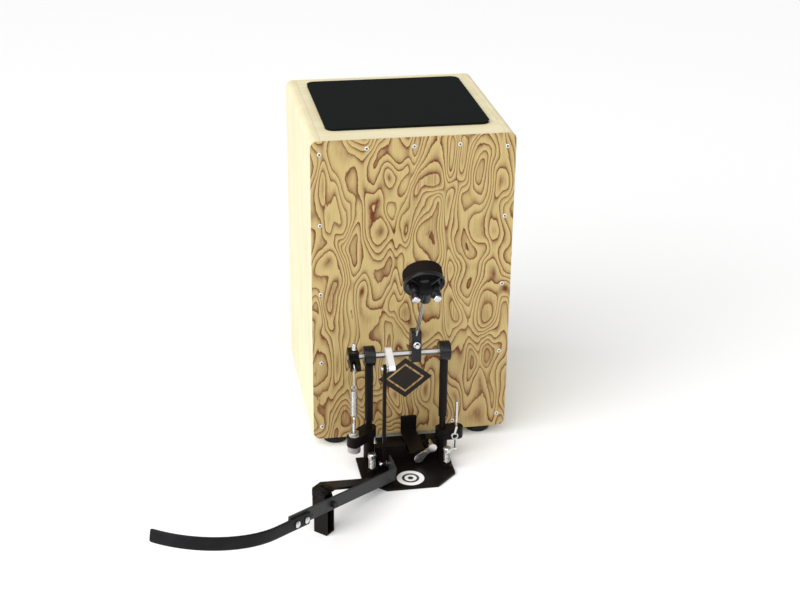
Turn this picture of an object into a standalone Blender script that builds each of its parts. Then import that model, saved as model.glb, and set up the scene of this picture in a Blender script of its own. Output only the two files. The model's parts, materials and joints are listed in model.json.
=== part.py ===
"""Cajon with a heel-operated pedal clamped to its front, as an assembly of separate pieces.

Stand frame: X to the player's left hand side seen from the front (right in a front view), Y from the front
plate towards the back, Z up from the floor.  The front plate's outer face is the plane Y = 0 and the
cajon's middle is X = 0.  At the end the whole assembly is moved so that the origin lies under the middle
of its bounding box, at floor level.  Metres throughout.
"""
import bpy
import bmesh
from math import acos, asin, atan2, cos, hypot, pi, radians, sin
from mathutils import Matrix, Vector

# ---------------------------------------------------------------- clearances
GAP = 0.0003                 # between pieces that touch
RUN = 0.0003                 # around a shaft that turns or slides in its hole

# ---------------------------------------------------------------- cajon body
BODY_WIDTH = 0.300
BODY_DEPTH = 0.305
SHELL_HEIGHT = 0.480
WALL = 0.015
FRONT_THICK = 0.003
BACK_THICK = 0.004
EDGE_ROUND = 0.010
PLATE_CORNER = 0.011
SOUND_HOLE_RADIUS = 0.055
SOUND_HOLE_FROM_TOP = 0.175
FOOT_HEIGHT = 0.016
FOOT_RADIUS = 0.020
FOOT_INSET_X = 0.037
FOOT_INSET_Y = 0.029
PAD_THICK = 0.0037
PAD_SIDE_MARGIN = 0.0285
PAD_FRONT_MARGIN = 0.041
PAD_BACK_MARGIN = 0.026
PAD_CORNER = 0.012
SNARE_BAR_HEIGHT = 0.020
SNARE_BAR_DEPTH = 0.014
SNARE_BAR_FROM_TOP = 0.110
SNARE_THICK = 0.0014
SNARE_STRANDS = 18
SNARE_STRAND_WIDTH = 0.0016
SNARE_STRAND_PITCH = 0.0075
SNARE_STRAND_LENGTH = 0.070
SNARE_STRIP_HEIGHT = 0.012

# ---------------------------------------------------------------- pedal stand
PLATE_THICK = 0.004
PLATE_LEFT = -0.092
PLATE_RIGHT = 0.049
PLATE_FRONT = -0.1415
PLATE_CHAMFER = 0.032
JAW_LEFT = -0.054
JAW_RIGHT = 0.043
JAW_THICK = 0.004
JAW_REACH = 0.004            # past the front plate's face, under the shell
POST_LEFT_X = -0.0733
POST_RIGHT_X = 0.0395
POST_RADIUS = 0.00625
NECK_RADIUS = 0.0048
SOCKET_RADIUS = 0.008
CASTING_HEIGHT = 0.0067
NECK_TOP_LEFT = 0.072
NECK_TOP_RIGHT = 0.069
BEAM_DEPTH = 0.012
BEAM_HEIGHT = 0.0227
BEAM_LUG_HEIGHT = 0.0105
BEAM_LUG_WIDTH = 0.011
CLAMP_LEFT = -0.015
CLAMP_WIDTH = 0.024
CLAMP_TAB_TOP = 0.0455
CLAMP_TAB_THICK = 0.004
CLAMP_BAR_THICK = 0.006
CLAMP_BAR_FRONT = -0.076
CLAMP_BAR_RISE = 0.0065
CLAMP_BAR_TOP_AT_TAB = 0.021
NOTCH_CLEAR = 0.002
WING_X = 0.019
WING_Z = 0.033
WING_REACH = 0.027
WING_LOBE_RADIUS = 0.007
WING_EYE_RADIUS = 0.0065
WING_THICK = 0.005
WING_ANGLE = radians(219)
WING_SCREW_RADIUS = 0.003
WING_CLEAR = 0.003           # wing to the clamp bar's front end

# ---------------------------------------------------------------- axle and bearings
AXLE_Y = -0.053
AXLE_Z = 0.180
AXLE_FLATS = 0.008           # hexagon, across flats
AXLE_END_CLEAR = 0.002
HOUSING_RADIUS = 0.0150
HOUSING_WIDTH = 0.017
BEARING_RADIUS = 0.0080
CRANK_REST = radians(-11)    # rocker and spring arm below the horizontal at rest

# ---------------------------------------------------------------- drive side
ROCKER_LEFT = -0.0495
ROCKER_WIDTH = 0.0095
ROCKER_RADIUS = 0.0325
ROCKER_HUB_RADIUS = 0.0105
ROCKER_END_RADIUS = 0.0050
DRIVE_ROD_STANDOFF = 0.0035  # between the rocker and the drive rod
DRIVE_ROD_THICK = 0.0045
DRIVE_ROD_WIDTH = 0.008
DRIVE_PIN_RADIUS = 0.0022
DRIVE_EYE_RADIUS = 0.0060
LOWER_EYE_CLEAR = 0.0018     # play of the lower eye on its bolt, the opened pivot of the linkage
LOWER_BOLT_RADIUS = 0.00225
PIN_HEAD_RADIUS = 0.0036
PIN_HEAD_THICK = 0.003

# ---------------------------------------------------------------- return spring side
SPRING_X = -0.0995
ARM_X = -0.0972
ARM_WIDTH = 0.015
ARM_SLOT = 0.0056
ARM_RADIUS = 0.0255
ARM_BLOCK = 0.0210
ARM_END_RADIUS = 0.0058
ARM_PIN_RADIUS = 0.0020
ARM_BOLT_RADIUS = 0.0034
ARM_BOLT_HEIGHT = 0.011
ARM_BOLT_OFFSET = 0.002
HANGER_WIRE = 0.0011
HANGER_LOOP = 0.0046
HANGER_RING = 0.0030
HANGER_LENGTH = 0.0325
SPRING_RADIUS = 0.0043
SPRING_WIRE = 0.0009
SPRING_TURNS = 15
SPRING_LENGTH = 0.0425
TENSION_ROD_RADIUS = 0.0028
TENSION_EYE = 0.0034
TENSION_EYE_WIRE = 0.0012
TENSION_EYE_NECK = 0.0040
TENSION_NUT_RADIUS = 0.0078
TENSION_NUT_HEIGHT = 0.0070
TENSION_KNOB_RADIUS = 0.0098
TENSION_KNOB_HEIGHT = 0.0115
BRACKET_HEIGHT = 0.015
BRACKET_RADIUS = 0.0110
SPRING_BRACKET_BOTTOM = 0.046
KEY_BRACKET_BOTTOM = 0.033
KEY_BRACKET_HEIGHT = 0.017
KEY_BRACKET_RADIUS = 0.0105
KEY_X = 0.061
KEY_STEM_RADIUS = 0.0022
KEY_STEM_BELOW = 0.021
KEY_HANDLE_HEIGHT = 0.036
KEY_RING = 0.0045
KEY_RING_WIRE = 0.0016

# ---------------------------------------------------------------- spikes
SPIKE_Y = -0.091
SPIKE_LEFT_X = -0.0743
SPIKE_RIGHT_X = 0.0395
SPIKE_RADIUS = 0.0030
SPIKE_HEAD_RADIUS = 0.0062
SPIKE_HEAD_HEIGHT = 0.007
SPIKE_SPRING_LENGTH = 0.0180
SPIKE_SPRING_RADIUS = 0.0046
SPIKE_SPRING_WIRE = 0.0008
SPIKE_SPRING_TURNS = 6
SPIKE_BOSS_RADIUS = 0.0075
SPIKE_BAR_RADIUS = 0.0017
SPIKE_BAR_REACH = 0.0145
SPIKE_TIP_LIFT = 0.001

# ---------------------------------------------------------------- beater
HUB_X = -0.0043
HUB_WIDTH = 0.0145
HUB_BELOW = 0.0125
HUB_ABOVE = 0.0375
HUB_HALF_DEPTH = 0.0105
HUB_BOLT_RADIUS = 0.0038
HUB_BOLT_REACH = 0.008
HUB_BOLT_Z = 0.018
BEATER_LEAN = radians(32)
HEAD_Y = -0.068              # head centre from the axle, towards the player
HEAD_Z = 0.129               # head centre above the axle
BEATER_ROD_RADIUS = 0.0028
BEATER_ROD_BELOW = 0.122
FELT_RADIUS = 0.0285
FELT_THICK = 0.020
FELT_FACE = 0.036            # rod axis to striking face
RIM_RADIUS = 0.030
RIM_THICK = 0.0057
HEAD_HUB_HALF = 0.0083
HEAD_HUB_BACK = 0.012
HEAD_HUB_BELOW = 0.015
WEIGHT_X = 0.015
WEIGHT_Z = -0.001
WEIGHT_RADIUS = 0.0062
WEIGHT_THICK = 0.0040
WEIGHT_BACK = 0.011
STRIKE_CLEAR = 0.0005

# ---------------------------------------------------------------- lever and outrigger
BAR_HEIGHT = 0.019
BAR_THICK = 0.0035
TAIL_X = -0.0462
BEND_Y = -0.1265
TAIL_PAST_BOLT = 0.009
LEVER_HEADING = radians(44.2)
LEVER_TILT = radians(11)
BEND_TO_PIVOT = 0.1597
PIVOT_Z = 0.0498
PIVOT_TO_BAR_END = 0.098
PIVOT_TO_HEEL_BAR = 0.057
HEEL_STRAIGHT = 0.073
HEEL_BEND_RADIUS = 0.129
HEEL_BEND_ANGLE = radians(80)
HEEL_THICK = 0.004
HEEL_DROP = 0.0025
HEEL_SCREWS = (0.0663, 0.0872)
HEEL_SCREW_RADIUS = 0.0025
HEEL_SCREW_HEAD = 0.0048
HEEL_SCREW_HEAD_THICK = 0.0035
PIVOT_BOLT_RADIUS = 0.0031
PIVOT_HEAD_RADIUS = 0.0048
PIVOT_HEAD_THICK = 0.0055
FOOT_CHANNEL_WIDTH = 0.018
FOOT_CHANNEL_DEPTH = 0.022
FOOT_SHEET = 0.0025
FOOT_WEB_TOP = 0.050
FOOT_PIN_Z = 0.0605
FOOT_PIN_RADIUS = 0.0022
FOOT_PIN_FROM_FRONT = 0.011
FOOT_EAR_RADIUS = 0.0075
FOOT_TO_BAR = 0.0005
OUTRIGGER_WIDTH = 0.026
OUTRIGGER_THICK = 0.004
OUTRIGGER_TO_BAR = 0.0035
OUTRIGGER_FLAT = 0.012
OUTRIGGER_RISE_END = 0.006   # level stretch before the foot
OUTRIGGER_FLANGE_DROP = 0.030
OUTRIGGER_FLANGE_THICK = 0.0024
OUTRIGGER_PAST_PIVOT = 0.003
KNUCKLE_RADIUS = 0.0050

FINE = 24
COARSE = 12

FINISHES = {
    "birch": ((0.80, 0.72, 0.55), 0.55, 0.0),
    "burl": ((0.55, 0.40, 0.20), 0.45, 0.0),
    "pine": ((0.66, 0.48, 0.28), 0.70, 0.0),
    "pad": ((0.012, 0.014, 0.013), 0.90, 0.0),
    "rubber": ((0.02, 0.02, 0.02), 0.85, 0.0),
    "black_steel": ((0.018, 0.017, 0.017), 0.45, 0.3),
    "black_plastic": ((0.015, 0.015, 0.016), 0.35, 0.0),
    "chrome": ((0.72, 0.72, 0.73), 0.18, 1.0),
    "nickel": ((0.62, 0.61, 0.58), 0.32, 1.0),
    "aluminium": ((0.55, 0.55, 0.54), 0.42, 1.0),
    "felt": ((0.02, 0.018, 0.017), 0.95, 0.0),
}

IDENTITY = Matrix.Identity(4)


# ================================================================= shapes
def along(axis, u, v, w):
    """A point from plane coordinates u, v and height w along the named axis."""
    if axis == "x":
        return (w, u, v)
    if axis == "y":
        return (u, w, v)
    return (u, v, w)


def arc(centre, radius, start, end, steps):
    """Points on an arc in the plane, both ends included."""
    turn = [start + (end - start) * i / steps for i in range(steps + 1)]
    return [(centre[0] + radius * cos(a), centre[1] + radius * sin(a)) for a in turn]


def circle(radius, steps=FINE, centre=(0.0, 0.0)):
    return arc(centre, radius, 0.0, 2 * pi, steps)[:-1]


def rectangle(left, bottom, right, top):
    return [(left, bottom), (right, bottom), (right, top), (left, top)]


def rounded_rectangle(left, bottom, right, top, radius, steps=4):
    """A rectangle with four round corners, counter-clockwise."""
    corners = [(right - radius, top - radius, 0.0), (left + radius, top - radius, pi / 2),
               (left + radius, bottom + radius, pi), (right - radius, bottom + radius, 3 * pi / 2)]
    points = []
    for x, y, start in corners:
        points += arc((x, y), radius, start, start + pi / 2, steps)
    return points


def capsule(first, first_radius, second, second_radius, steps=FINE):
    """Outline of two circles and their common outer tangents."""
    dx = second[0] - first[0]
    dy = second[1] - first[1]
    heading = atan2(dy, dx)
    lean = acos((first_radius - second_radius) / hypot(dx, dy))
    near = arc(first, first_radius, heading + lean, heading + 2 * pi - lean, steps)
    far = arc(second, second_radius, heading - lean, heading + lean, steps)
    return near + far


def hexagon(flats):
    return circle(flats / 2 / cos(pi / 6), 6)


def prism(outline, low, high, axis="z"):
    """An outline raised from low to high along an axis."""
    bm = bmesh.new()
    floor = [bm.verts.new(along(axis, u, v, low)) for u, v in outline]
    roof = [bm.verts.new(along(axis, u, v, high)) for u, v in outline]
    bm.faces.new(floor)
    bm.faces.new(roof)
    for i in range(len(outline)):
        j = (i + 1) % len(outline)
        bm.faces.new((floor[i], floor[j], roof[j], roof[i]))
    return bm


def box(low, high):
    return prism(rectangle(low[0], low[1], high[0], high[1]), low[2], high[2])


def cylinder(radius, low, high, axis="z", centre=(0.0, 0.0), steps=FINE):
    return prism(circle(radius, steps, centre), low, high, axis)


def turned(profile, axis="z", centre=(0.0, 0.0), steps=FINE, ring=False):
    """A profile of (radius, height) points turned about an axis; ring closes it round a bore."""
    bm = bmesh.new()
    rings = []
    for radius, height in profile:
        if radius == 0.0:
            rings.append([bm.verts.new(along(axis, centre[0], centre[1], height))])
        else:
            rings.append([bm.verts.new(along(axis, u, v, height)) for u, v in circle(radius, steps, centre)])
    pairs = list(zip(rings, rings[1:]))
    if ring:
        pairs.append((rings[-1], rings[0]))
    for lower, upper in pairs:
        for i in range(steps):
            j = (i + 1) % steps
            below = [lower[i % len(lower)], lower[j % len(lower)]]
            above = [upper[j % len(upper)], upper[i % len(upper)]]
            bm.faces.new(list(dict.fromkeys(below + above)))
    return bm


def tube_ring(radius_in, radius_out, low, high, axis="z", centre=(0.0, 0.0), steps=FINE):
    """A plain bush: a cylinder with a bore right through."""
    profile = [(radius_out, low), (radius_out, high), (radius_in, high), (radius_in, low)]
    return turned(profile, axis, centre, steps, ring=True)


def torus(major, minor, axis, centre, height, steps=16, sides=8):
    """A wire ring round an axis."""
    profile = [(major + u, height + v) for u, v in circle(minor, sides)]
    return turned(profile, axis, centre, steps, ring=True)


def wire(points, radius, sides=8):
    """A round wire along a path, with flat ends."""
    path = [Vector(p) for p in points]
    bm = bmesh.new()
    side = None
    loops = []
    for i, point in enumerate(path):
        ahead = path[min(i + 1, len(path) - 1)] - path[max(i - 1, 0)]
        ahead.normalize()
        if side is None:
            side = ahead.orthogonal()
        side = (side - ahead * side.dot(ahead)).normalized()
        up = ahead.cross(side)
        loops.append([bm.verts.new(point + side * u + up * v) for u, v in circle(radius, sides)])
    bm.faces.new(loops[0])
    bm.faces.new(loops[-1])
    for lower, upper in zip(loops, loops[1:]):
        for i in range(sides):
            j = (i + 1) % sides
            bm.faces.new((lower[i], lower[j], upper[j], upper[i]))
    return bm


def coil(radius, low, high, turns, wire_radius, steps=8, sides=5):
    """A helical spring along Z about the origin."""
    count = turns * steps
    rise = (high - low - 2 * wire_radius) / count
    points = []
    for i in range(count + 1):
        turn = 2 * pi * i / steps
        points.append((radius * cos(turn), radius * sin(turn), low + wire_radius + rise * i))
    return wire(points, wire_radius, sides)


def strip(path, thickness):
    """Outline of a flat strip whose middle line follows path, with mitred corners."""
    points = [Vector(p) for p in path]
    left = []
    right = []
    for i, point in enumerate(points):
        before = (point - points[i - 1]).normalized() if i else (points[1] - point).normalized()
        after = (points[i + 1] - point).normalized() if i < len(points) - 1 else before
        middle = (before + after).normalized()
        normal = Vector((-middle.y, middle.x)) * (thickness / 2 / middle.dot(before))
        left.append(tuple(point + normal))
        right.append(tuple(point - normal))
    return left + right[::-1]


# ================================================================= objects
def clear_scene():
    for obj in list(bpy.data.objects):
        bpy.data.objects.remove(obj, do_unlink=True)


def make_object(name, bm, frame, parent):
    """An object from a bmesh built in the given frame of the stand."""
    bmesh.ops.recalc_face_normals(bm, faces=bm.faces)
    mesh = bpy.data.meshes.new(name)
    bm.to_mesh(mesh)
    bm.free()
    obj = bpy.data.objects.new(name, mesh)
    bpy.context.scene.collection.objects.link(obj)
    obj.parent = parent
    obj.matrix_basis = frame
    return obj


class Workshop:
    """Makes the pieces, all carried by one empty on the floor."""

    def __init__(self):
        self.stand = bpy.data.objects.new("stand", None)
        bpy.context.scene.collection.objects.link(self.stand)
        self.cutters = 0

    def piece(self, name, bm, finish, frame=IDENTITY):
        obj = make_object(name, bm, frame, self.stand)
        colour, roughness, metallic = FINISHES[finish]
        material = bpy.data.materials.new(name + "_" + finish)
        material.use_nodes = True
        shader = material.node_tree.nodes["Principled BSDF"]
        shader.inputs["Base Color"].default_value = (*colour, 1.0)
        shader.inputs["Roughness"].default_value = roughness
        shader.inputs["Metallic"].default_value = metallic
        obj.data.materials.append(material)
        obj.data.shade_smooth()
        obj.data.set_sharp_from_angle(angle=radians(35))
        return obj

    def shape(self, obj, operation, bm, frame=None):
        """Cut a shape from a piece, or join it on, with a live Boolean modifier."""
        self.cutters += 1
        place = obj.matrix_basis.copy() if frame is None else frame
        tool = make_object("tool_%03d" % self.cutters, bm, place, self.stand)
        tool.hide_render = True
        tool.display_type = "WIRE"
        modifier = obj.modifiers.new(operation.lower(), "BOOLEAN")
        modifier.operation = operation
        modifier.solver = "EXACT"
        modifier.object = tool

    def cut(self, obj, *shapes):
        for bm in shapes:
            self.shape(obj, "DIFFERENCE", bm)

    def join(self, obj, *shapes):
        for bm in shapes:
            self.shape(obj, "UNION", bm)


# ================================================================= places worked out from the sizes
PLATE_TOP = PLATE_THICK + GAP
SHELL_BOTTOM = FOOT_HEIGHT
SHELL_TOP = FOOT_HEIGHT + SHELL_HEIGHT
SHELL_FRONT = FRONT_THICK + GAP
SHELL_BACK = BODY_DEPTH - BACK_THICK - GAP
HALF_WIDTH = BODY_WIDTH / 2
INNER_HALF = HALF_WIDTH - WALL

BEAM_LEFT = POST_LEFT_X + SOCKET_RADIUS + GAP
BEAM_RIGHT = POST_RIGHT_X - SOCKET_RADIUS - GAP
BEAM_FRONT = AXLE_Y - BEAM_DEPTH / 2
BEAM_BACK = AXLE_Y + BEAM_DEPTH / 2
BEAM_TOP = PLATE_TOP + BEAM_HEIGHT
JAW_FRONT = AXLE_Y + SOCKET_RADIUS + GAP
WING_BACK = CLAMP_BAR_FRONT - WING_CLEAR

SPRING_Y = -ARM_RADIUS * cos(CRANK_REST)      # from the axle
SPRING_TOP_Z = ARM_RADIUS * sin(CRANK_REST)
SPRING_PLACE_Y = AXLE_Y + SPRING_Y
DRIVE_PIN_Y = -ROCKER_RADIUS * cos(CRANK_REST)
DRIVE_PIN_Z = ROCKER_RADIUS * sin(CRANK_REST)
DRIVE_ROD_RIGHT = ROCKER_LEFT - DRIVE_ROD_STANDOFF
DRIVE_ROD_LEFT = DRIVE_ROD_RIGHT - DRIVE_ROD_THICK

# plan directions of the lever: towards the heel, and out on the player's side
TO_HEEL = Vector((-sin(LEVER_HEADING), -cos(LEVER_HEADING), 0.0))
OUTWARD = Vector((cos(LEVER_HEADING), -sin(LEVER_HEADING), 0.0))
PIVOT = Vector((TAIL_X, BEND_Y, PIVOT_Z)) + TO_HEEL * (BEND_TO_PIVOT * cos(LEVER_TILT))
PLAN_FRAME = Matrix.Translation((PIVOT.x, PIVOT.y, 0.0)) @ Matrix.Rotation(
    atan2(TO_HEEL.y, TO_HEEL.x), 4, "Z")
LEVER_FRAME = PLAN_FRAME @ Matrix.Translation((0.0, 0.0, PIVOT_Z)) @ Matrix.Rotation(-LEVER_TILT, 4, "Y")
LOWER_BOLT_ALONG = -(BEND_TO_PIVOT
                     + (AXLE_Y + DRIVE_PIN_Y - BEND_Y) * cos(LEVER_HEADING) / cos(LEVER_TILT))
LOWER_BOLT_Z = PIVOT_Z + LOWER_BOLT_ALONG * sin(LEVER_TILT)

AXLE_FRAME = Matrix.Translation((0.0, AXLE_Y, AXLE_Z))
HEAD_FRAME = AXLE_FRAME @ Matrix.Translation((HUB_X, HEAD_Y, HEAD_Z)) @ Matrix.Rotation(BEATER_LEAN, 4, "X")


def felt_edge_y(swing):
    """Depth of the felt's lower edge when the beater has swung by an angle."""
    centre = atan2(-HEAD_Y, HEAD_Z) - swing
    lean = BEATER_LEAN - swing
    reach = hypot(HEAD_Y, HEAD_Z)
    edge = abs(sin(lean)) * FELT_RADIUS
    return AXLE_Y - reach * sin(centre) + FELT_FACE * cos(lean) + edge


def strike_swing():
    """The swing at which the felt just reaches the front plate, by halving the interval."""
    low = 0.0
    high = 2 * BEATER_LEAN
    for _ in range(40):
        middle = (low + high) / 2
        if felt_edge_y(middle) < -STRIKE_CLEAR:
            low = middle
        else:
            high = middle
    return low


def lever_swing(beater_swing):
    """The lever's turn that lifts the drive rod as far as the rocker's end rises."""
    lift = ROCKER_RADIUS * (sin(CRANK_REST + beater_swing) - sin(CRANK_REST))
    return LEVER_TILT - asin(sin(LEVER_TILT) + lift / LOWER_BOLT_ALONG)


def lower_bolt_shift():
    """How far sideways the lower bolt has moved along its arc when the felt strikes."""
    tilt = LEVER_TILT - lever_swing(strike_swing())
    return LOWER_BOLT_ALONG * (cos(LEVER_TILT) - cos(tilt)) * sin(LEVER_HEADING)


# ================================================================= cajon body
def make_shell(shop):
    """Two sides with rounded outer edges, and the top and bottom between them."""
    for name, side in (("left_side", -1), ("right_side", 1)):
        outer = side * HALF_WIDTH
        inner = side * INNER_HALF
        centre_x = outer - side * EDGE_ROUND
        top = arc((centre_x, SHELL_TOP - EDGE_ROUND), EDGE_ROUND, pi / 2 - side * pi / 2, pi / 2, 6)
        bottom = arc((centre_x, SHELL_BOTTOM + EDGE_ROUND), EDGE_ROUND, -pi / 2, -pi / 2 + side * pi / 2, 6)
        outline = bottom + top + [(inner, SHELL_TOP), (inner, SHELL_BOTTOM)]
        shop.piece(name, prism(outline, SHELL_FRONT, SHELL_BACK, "y"), "birch")
    reach = INNER_HALF - GAP
    top_outline = rectangle(-reach, SHELL_TOP - WALL, reach, SHELL_TOP)
    shop.piece("top_panel", prism(top_outline, SHELL_FRONT, SHELL_BACK, "y"), "birch")
    bottom_outline = rectangle(-reach, SHELL_BOTTOM, reach, SHELL_BOTTOM + WALL)
    shop.piece("bottom_panel", prism(bottom_outline, SHELL_FRONT, SHELL_BACK, "y"), "birch")


def make_plates(shop):
    """The front playing plate and the back panel with its sound hole."""
    outline = rounded_rectangle(-HALF_WIDTH, SHELL_BOTTOM, HALF_WIDTH, SHELL_TOP, PLATE_CORNER, 6)
    shop.piece("front_plate", prism(outline, 0.0, FRONT_THICK, "y"), "burl")
    back = shop.piece("back_panel", prism(outline, BODY_DEPTH - BACK_THICK, BODY_DEPTH, "y"), "birch")
    hole_z = SHELL_TOP - SOUND_HOLE_FROM_TOP
    shop.cut(back, cylinder(SOUND_HOLE_RADIUS, BODY_DEPTH - 3 * BACK_THICK, BODY_DEPTH + BACK_THICK, "y",
                            (0.0, hole_z), 40))


def make_seat_pad(shop):
    reach = HALF_WIDTH - PAD_SIDE_MARGIN
    outline = rounded_rectangle(-reach, PAD_FRONT_MARGIN, reach, BODY_DEPTH - PAD_BACK_MARGIN, PAD_CORNER, 5)
    bottom = SHELL_TOP + GAP
    shop.piece("seat_pad", prism(outline, bottom, bottom + PAD_THICK), "pad")


def make_feet(shop):
    """Four rubber feet with a chamfered lower edge."""
    chamfer = FOOT_HEIGHT / 5
    profile = [(0.0, 0.0), (FOOT_RADIUS - chamfer, 0.0), (FOOT_RADIUS, chamfer),
               (FOOT_RADIUS, FOOT_HEIGHT - GAP), (0.0, FOOT_HEIGHT - GAP)]
    for end, y in (("front", FOOT_INSET_Y), ("back", BODY_DEPTH - FOOT_INSET_Y)):
        for hand, side in (("left", -1), ("right", 1)):
            centre = (side * (HALF_WIDTH - FOOT_INSET_X), y)
            shop.piece("foot_%s_%s" % (end, hand), turned(profile, "z", centre), "rubber")


def make_snare(shop):
    """A wooden bar across the inside, and a comb of snare wires that lie against the front plate."""
    bar_top = SHELL_TOP - SNARE_BAR_FROM_TOP
    bar_bottom = bar_top - SNARE_BAR_HEIGHT
    front = SHELL_FRONT + SNARE_THICK + GAP
    reach = INNER_HALF - GAP
    bar = box((-reach, front, bar_bottom), (reach, front + SNARE_BAR_DEPTH, bar_top))
    shop.piece("snare_bar", bar, "pine")
    half = (SNARE_STRANDS - 1) * SNARE_STRAND_PITCH / 2 + SNARE_STRAND_WIDTH
    strip_top = bar_bottom + SNARE_STRIP_HEIGHT
    outline = [(-half, bar_bottom), (-half, strip_top)]
    for i in range(SNARE_STRANDS):
        x = (i - (SNARE_STRANDS - 1) / 2) * SNARE_STRAND_PITCH
        left = x - SNARE_STRAND_WIDTH / 2
        right = x + SNARE_STRAND_WIDTH / 2
        tip = strip_top + SNARE_STRAND_LENGTH
        outline += [(left, strip_top), (left, tip), (right, tip), (right, strip_top)]
    outline += [(half, strip_top), (half, bar_bottom)]
    shop.piece("snare_wires", prism(outline, SHELL_FRONT, SHELL_FRONT + SNARE_THICK, "y"), "nickel")


# ================================================================= pedal stand
def make_base(shop):
    """The base plate, the flat jaw under the shell, and the beam between the post sockets."""
    left_cut = PLATE_LEFT + PLATE_CHAMFER
    right_cut = PLATE_RIGHT - PLATE_CHAMFER
    side_cut = PLATE_FRONT + PLATE_CHAMFER
    rear = JAW_FRONT - GAP
    outline = [(PLATE_LEFT, rear), (PLATE_LEFT, side_cut), (left_cut, PLATE_FRONT),
               (right_cut, PLATE_FRONT), (PLATE_RIGHT, side_cut), (PLATE_RIGHT, rear)]
    plate = shop.piece("base_plate", prism(outline, 0.0, PLATE_THICK), "black_steel")
    for x in (SPIKE_LEFT_X, SPIKE_RIGHT_X):
        shop.cut(plate, cylinder(SPIKE_RADIUS + RUN, -PLATE_THICK, 2 * PLATE_THICK, "z", (x, SPIKE_Y)))
    jaw = box((JAW_LEFT, JAW_FRONT, 0.0), (JAW_RIGHT, JAW_REACH, PLATE_THICK + JAW_THICK))
    shop.piece("clamp_jaw", jaw, "black_steel")
    bar = box((BEAM_LEFT, BEAM_FRONT, PLATE_TOP), (BEAM_RIGHT, BEAM_BACK, BEAM_TOP))
    beam = shop.piece("cross_beam", bar, "black_steel")
    lug_left = WING_X - BEAM_LUG_WIDTH / 2
    lug = box((lug_left, BEAM_FRONT, PLATE_TOP),
              (lug_left + BEAM_LUG_WIDTH, BEAM_BACK, BEAM_TOP + BEAM_LUG_HEIGHT))
    shop.join(beam, lug)
    notch_floor = clamp_underside(BEAM_BACK) - NOTCH_CLEAR
    notch = box((CLAMP_LEFT - NOTCH_CLEAR, BEAM_FRONT - BEAM_DEPTH, notch_floor),
                (CLAMP_LEFT + CLAMP_WIDTH + NOTCH_CLEAR, BEAM_BACK + BEAM_DEPTH, 2 * BEAM_TOP))
    shop.cut(beam, notch)


def clamp_topside(y):
    """Height of the clamp bar's upper face at a depth."""
    share = (y + CLAMP_TAB_THICK) / (CLAMP_BAR_FRONT + CLAMP_TAB_THICK)
    return CLAMP_BAR_TOP_AT_TAB + CLAMP_BAR_RISE * share


def clamp_underside(y):
    return clamp_topside(y) - CLAMP_BAR_THICK


def make_clamp(shop):
    """The clamp bar, whose upright tab bears on the front plate, and its wing bolt."""
    tab_front = -GAP - CLAMP_TAB_THICK
    outline = [(-GAP, CLAMP_TAB_TOP), (tab_front, CLAMP_TAB_TOP), (tab_front, clamp_topside(tab_front)),
               (CLAMP_BAR_FRONT, clamp_topside(CLAMP_BAR_FRONT)),
               (CLAMP_BAR_FRONT, clamp_underside(CLAMP_BAR_FRONT)), (-GAP, clamp_underside(-GAP))]
    shop.piece("clamp_bar", prism(outline, CLAMP_LEFT, CLAMP_LEFT + CLAMP_WIDTH, "x"), "black_steel")
    frame = Matrix.Translation((WING_X, BEAM_FRONT, WING_Z))
    back = WING_BACK - BEAM_FRONT
    lobe = (WING_REACH * cos(WING_ANGLE), WING_REACH * sin(WING_ANGLE))
    half_lobe = (lobe[0] / 2, lobe[1] / 2)
    screw = shop.piece("clamp_wing_bolt", cylinder(WING_SCREW_RADIUS, back - WING_THICK / 2, -GAP, "y"),
                       "chrome", frame)
    shop.join(screw, cylinder(WING_EYE_RADIUS, back - WING_THICK, back, "y"),
              prism(capsule((0.0, 0.0), WING_EYE_RADIUS * 0.6, half_lobe, WING_EYE_RADIUS * 0.6, COARSE),
                    back - WING_THICK * 0.8, back - WING_THICK * 0.2, "y"),
              prism(capsule(half_lobe, WING_EYE_RADIUS * 0.55, lobe, WING_LOBE_RADIUS, COARSE),
                    back - WING_THICK * 0.85, back - WING_THICK * 0.15, "y"))


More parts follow.
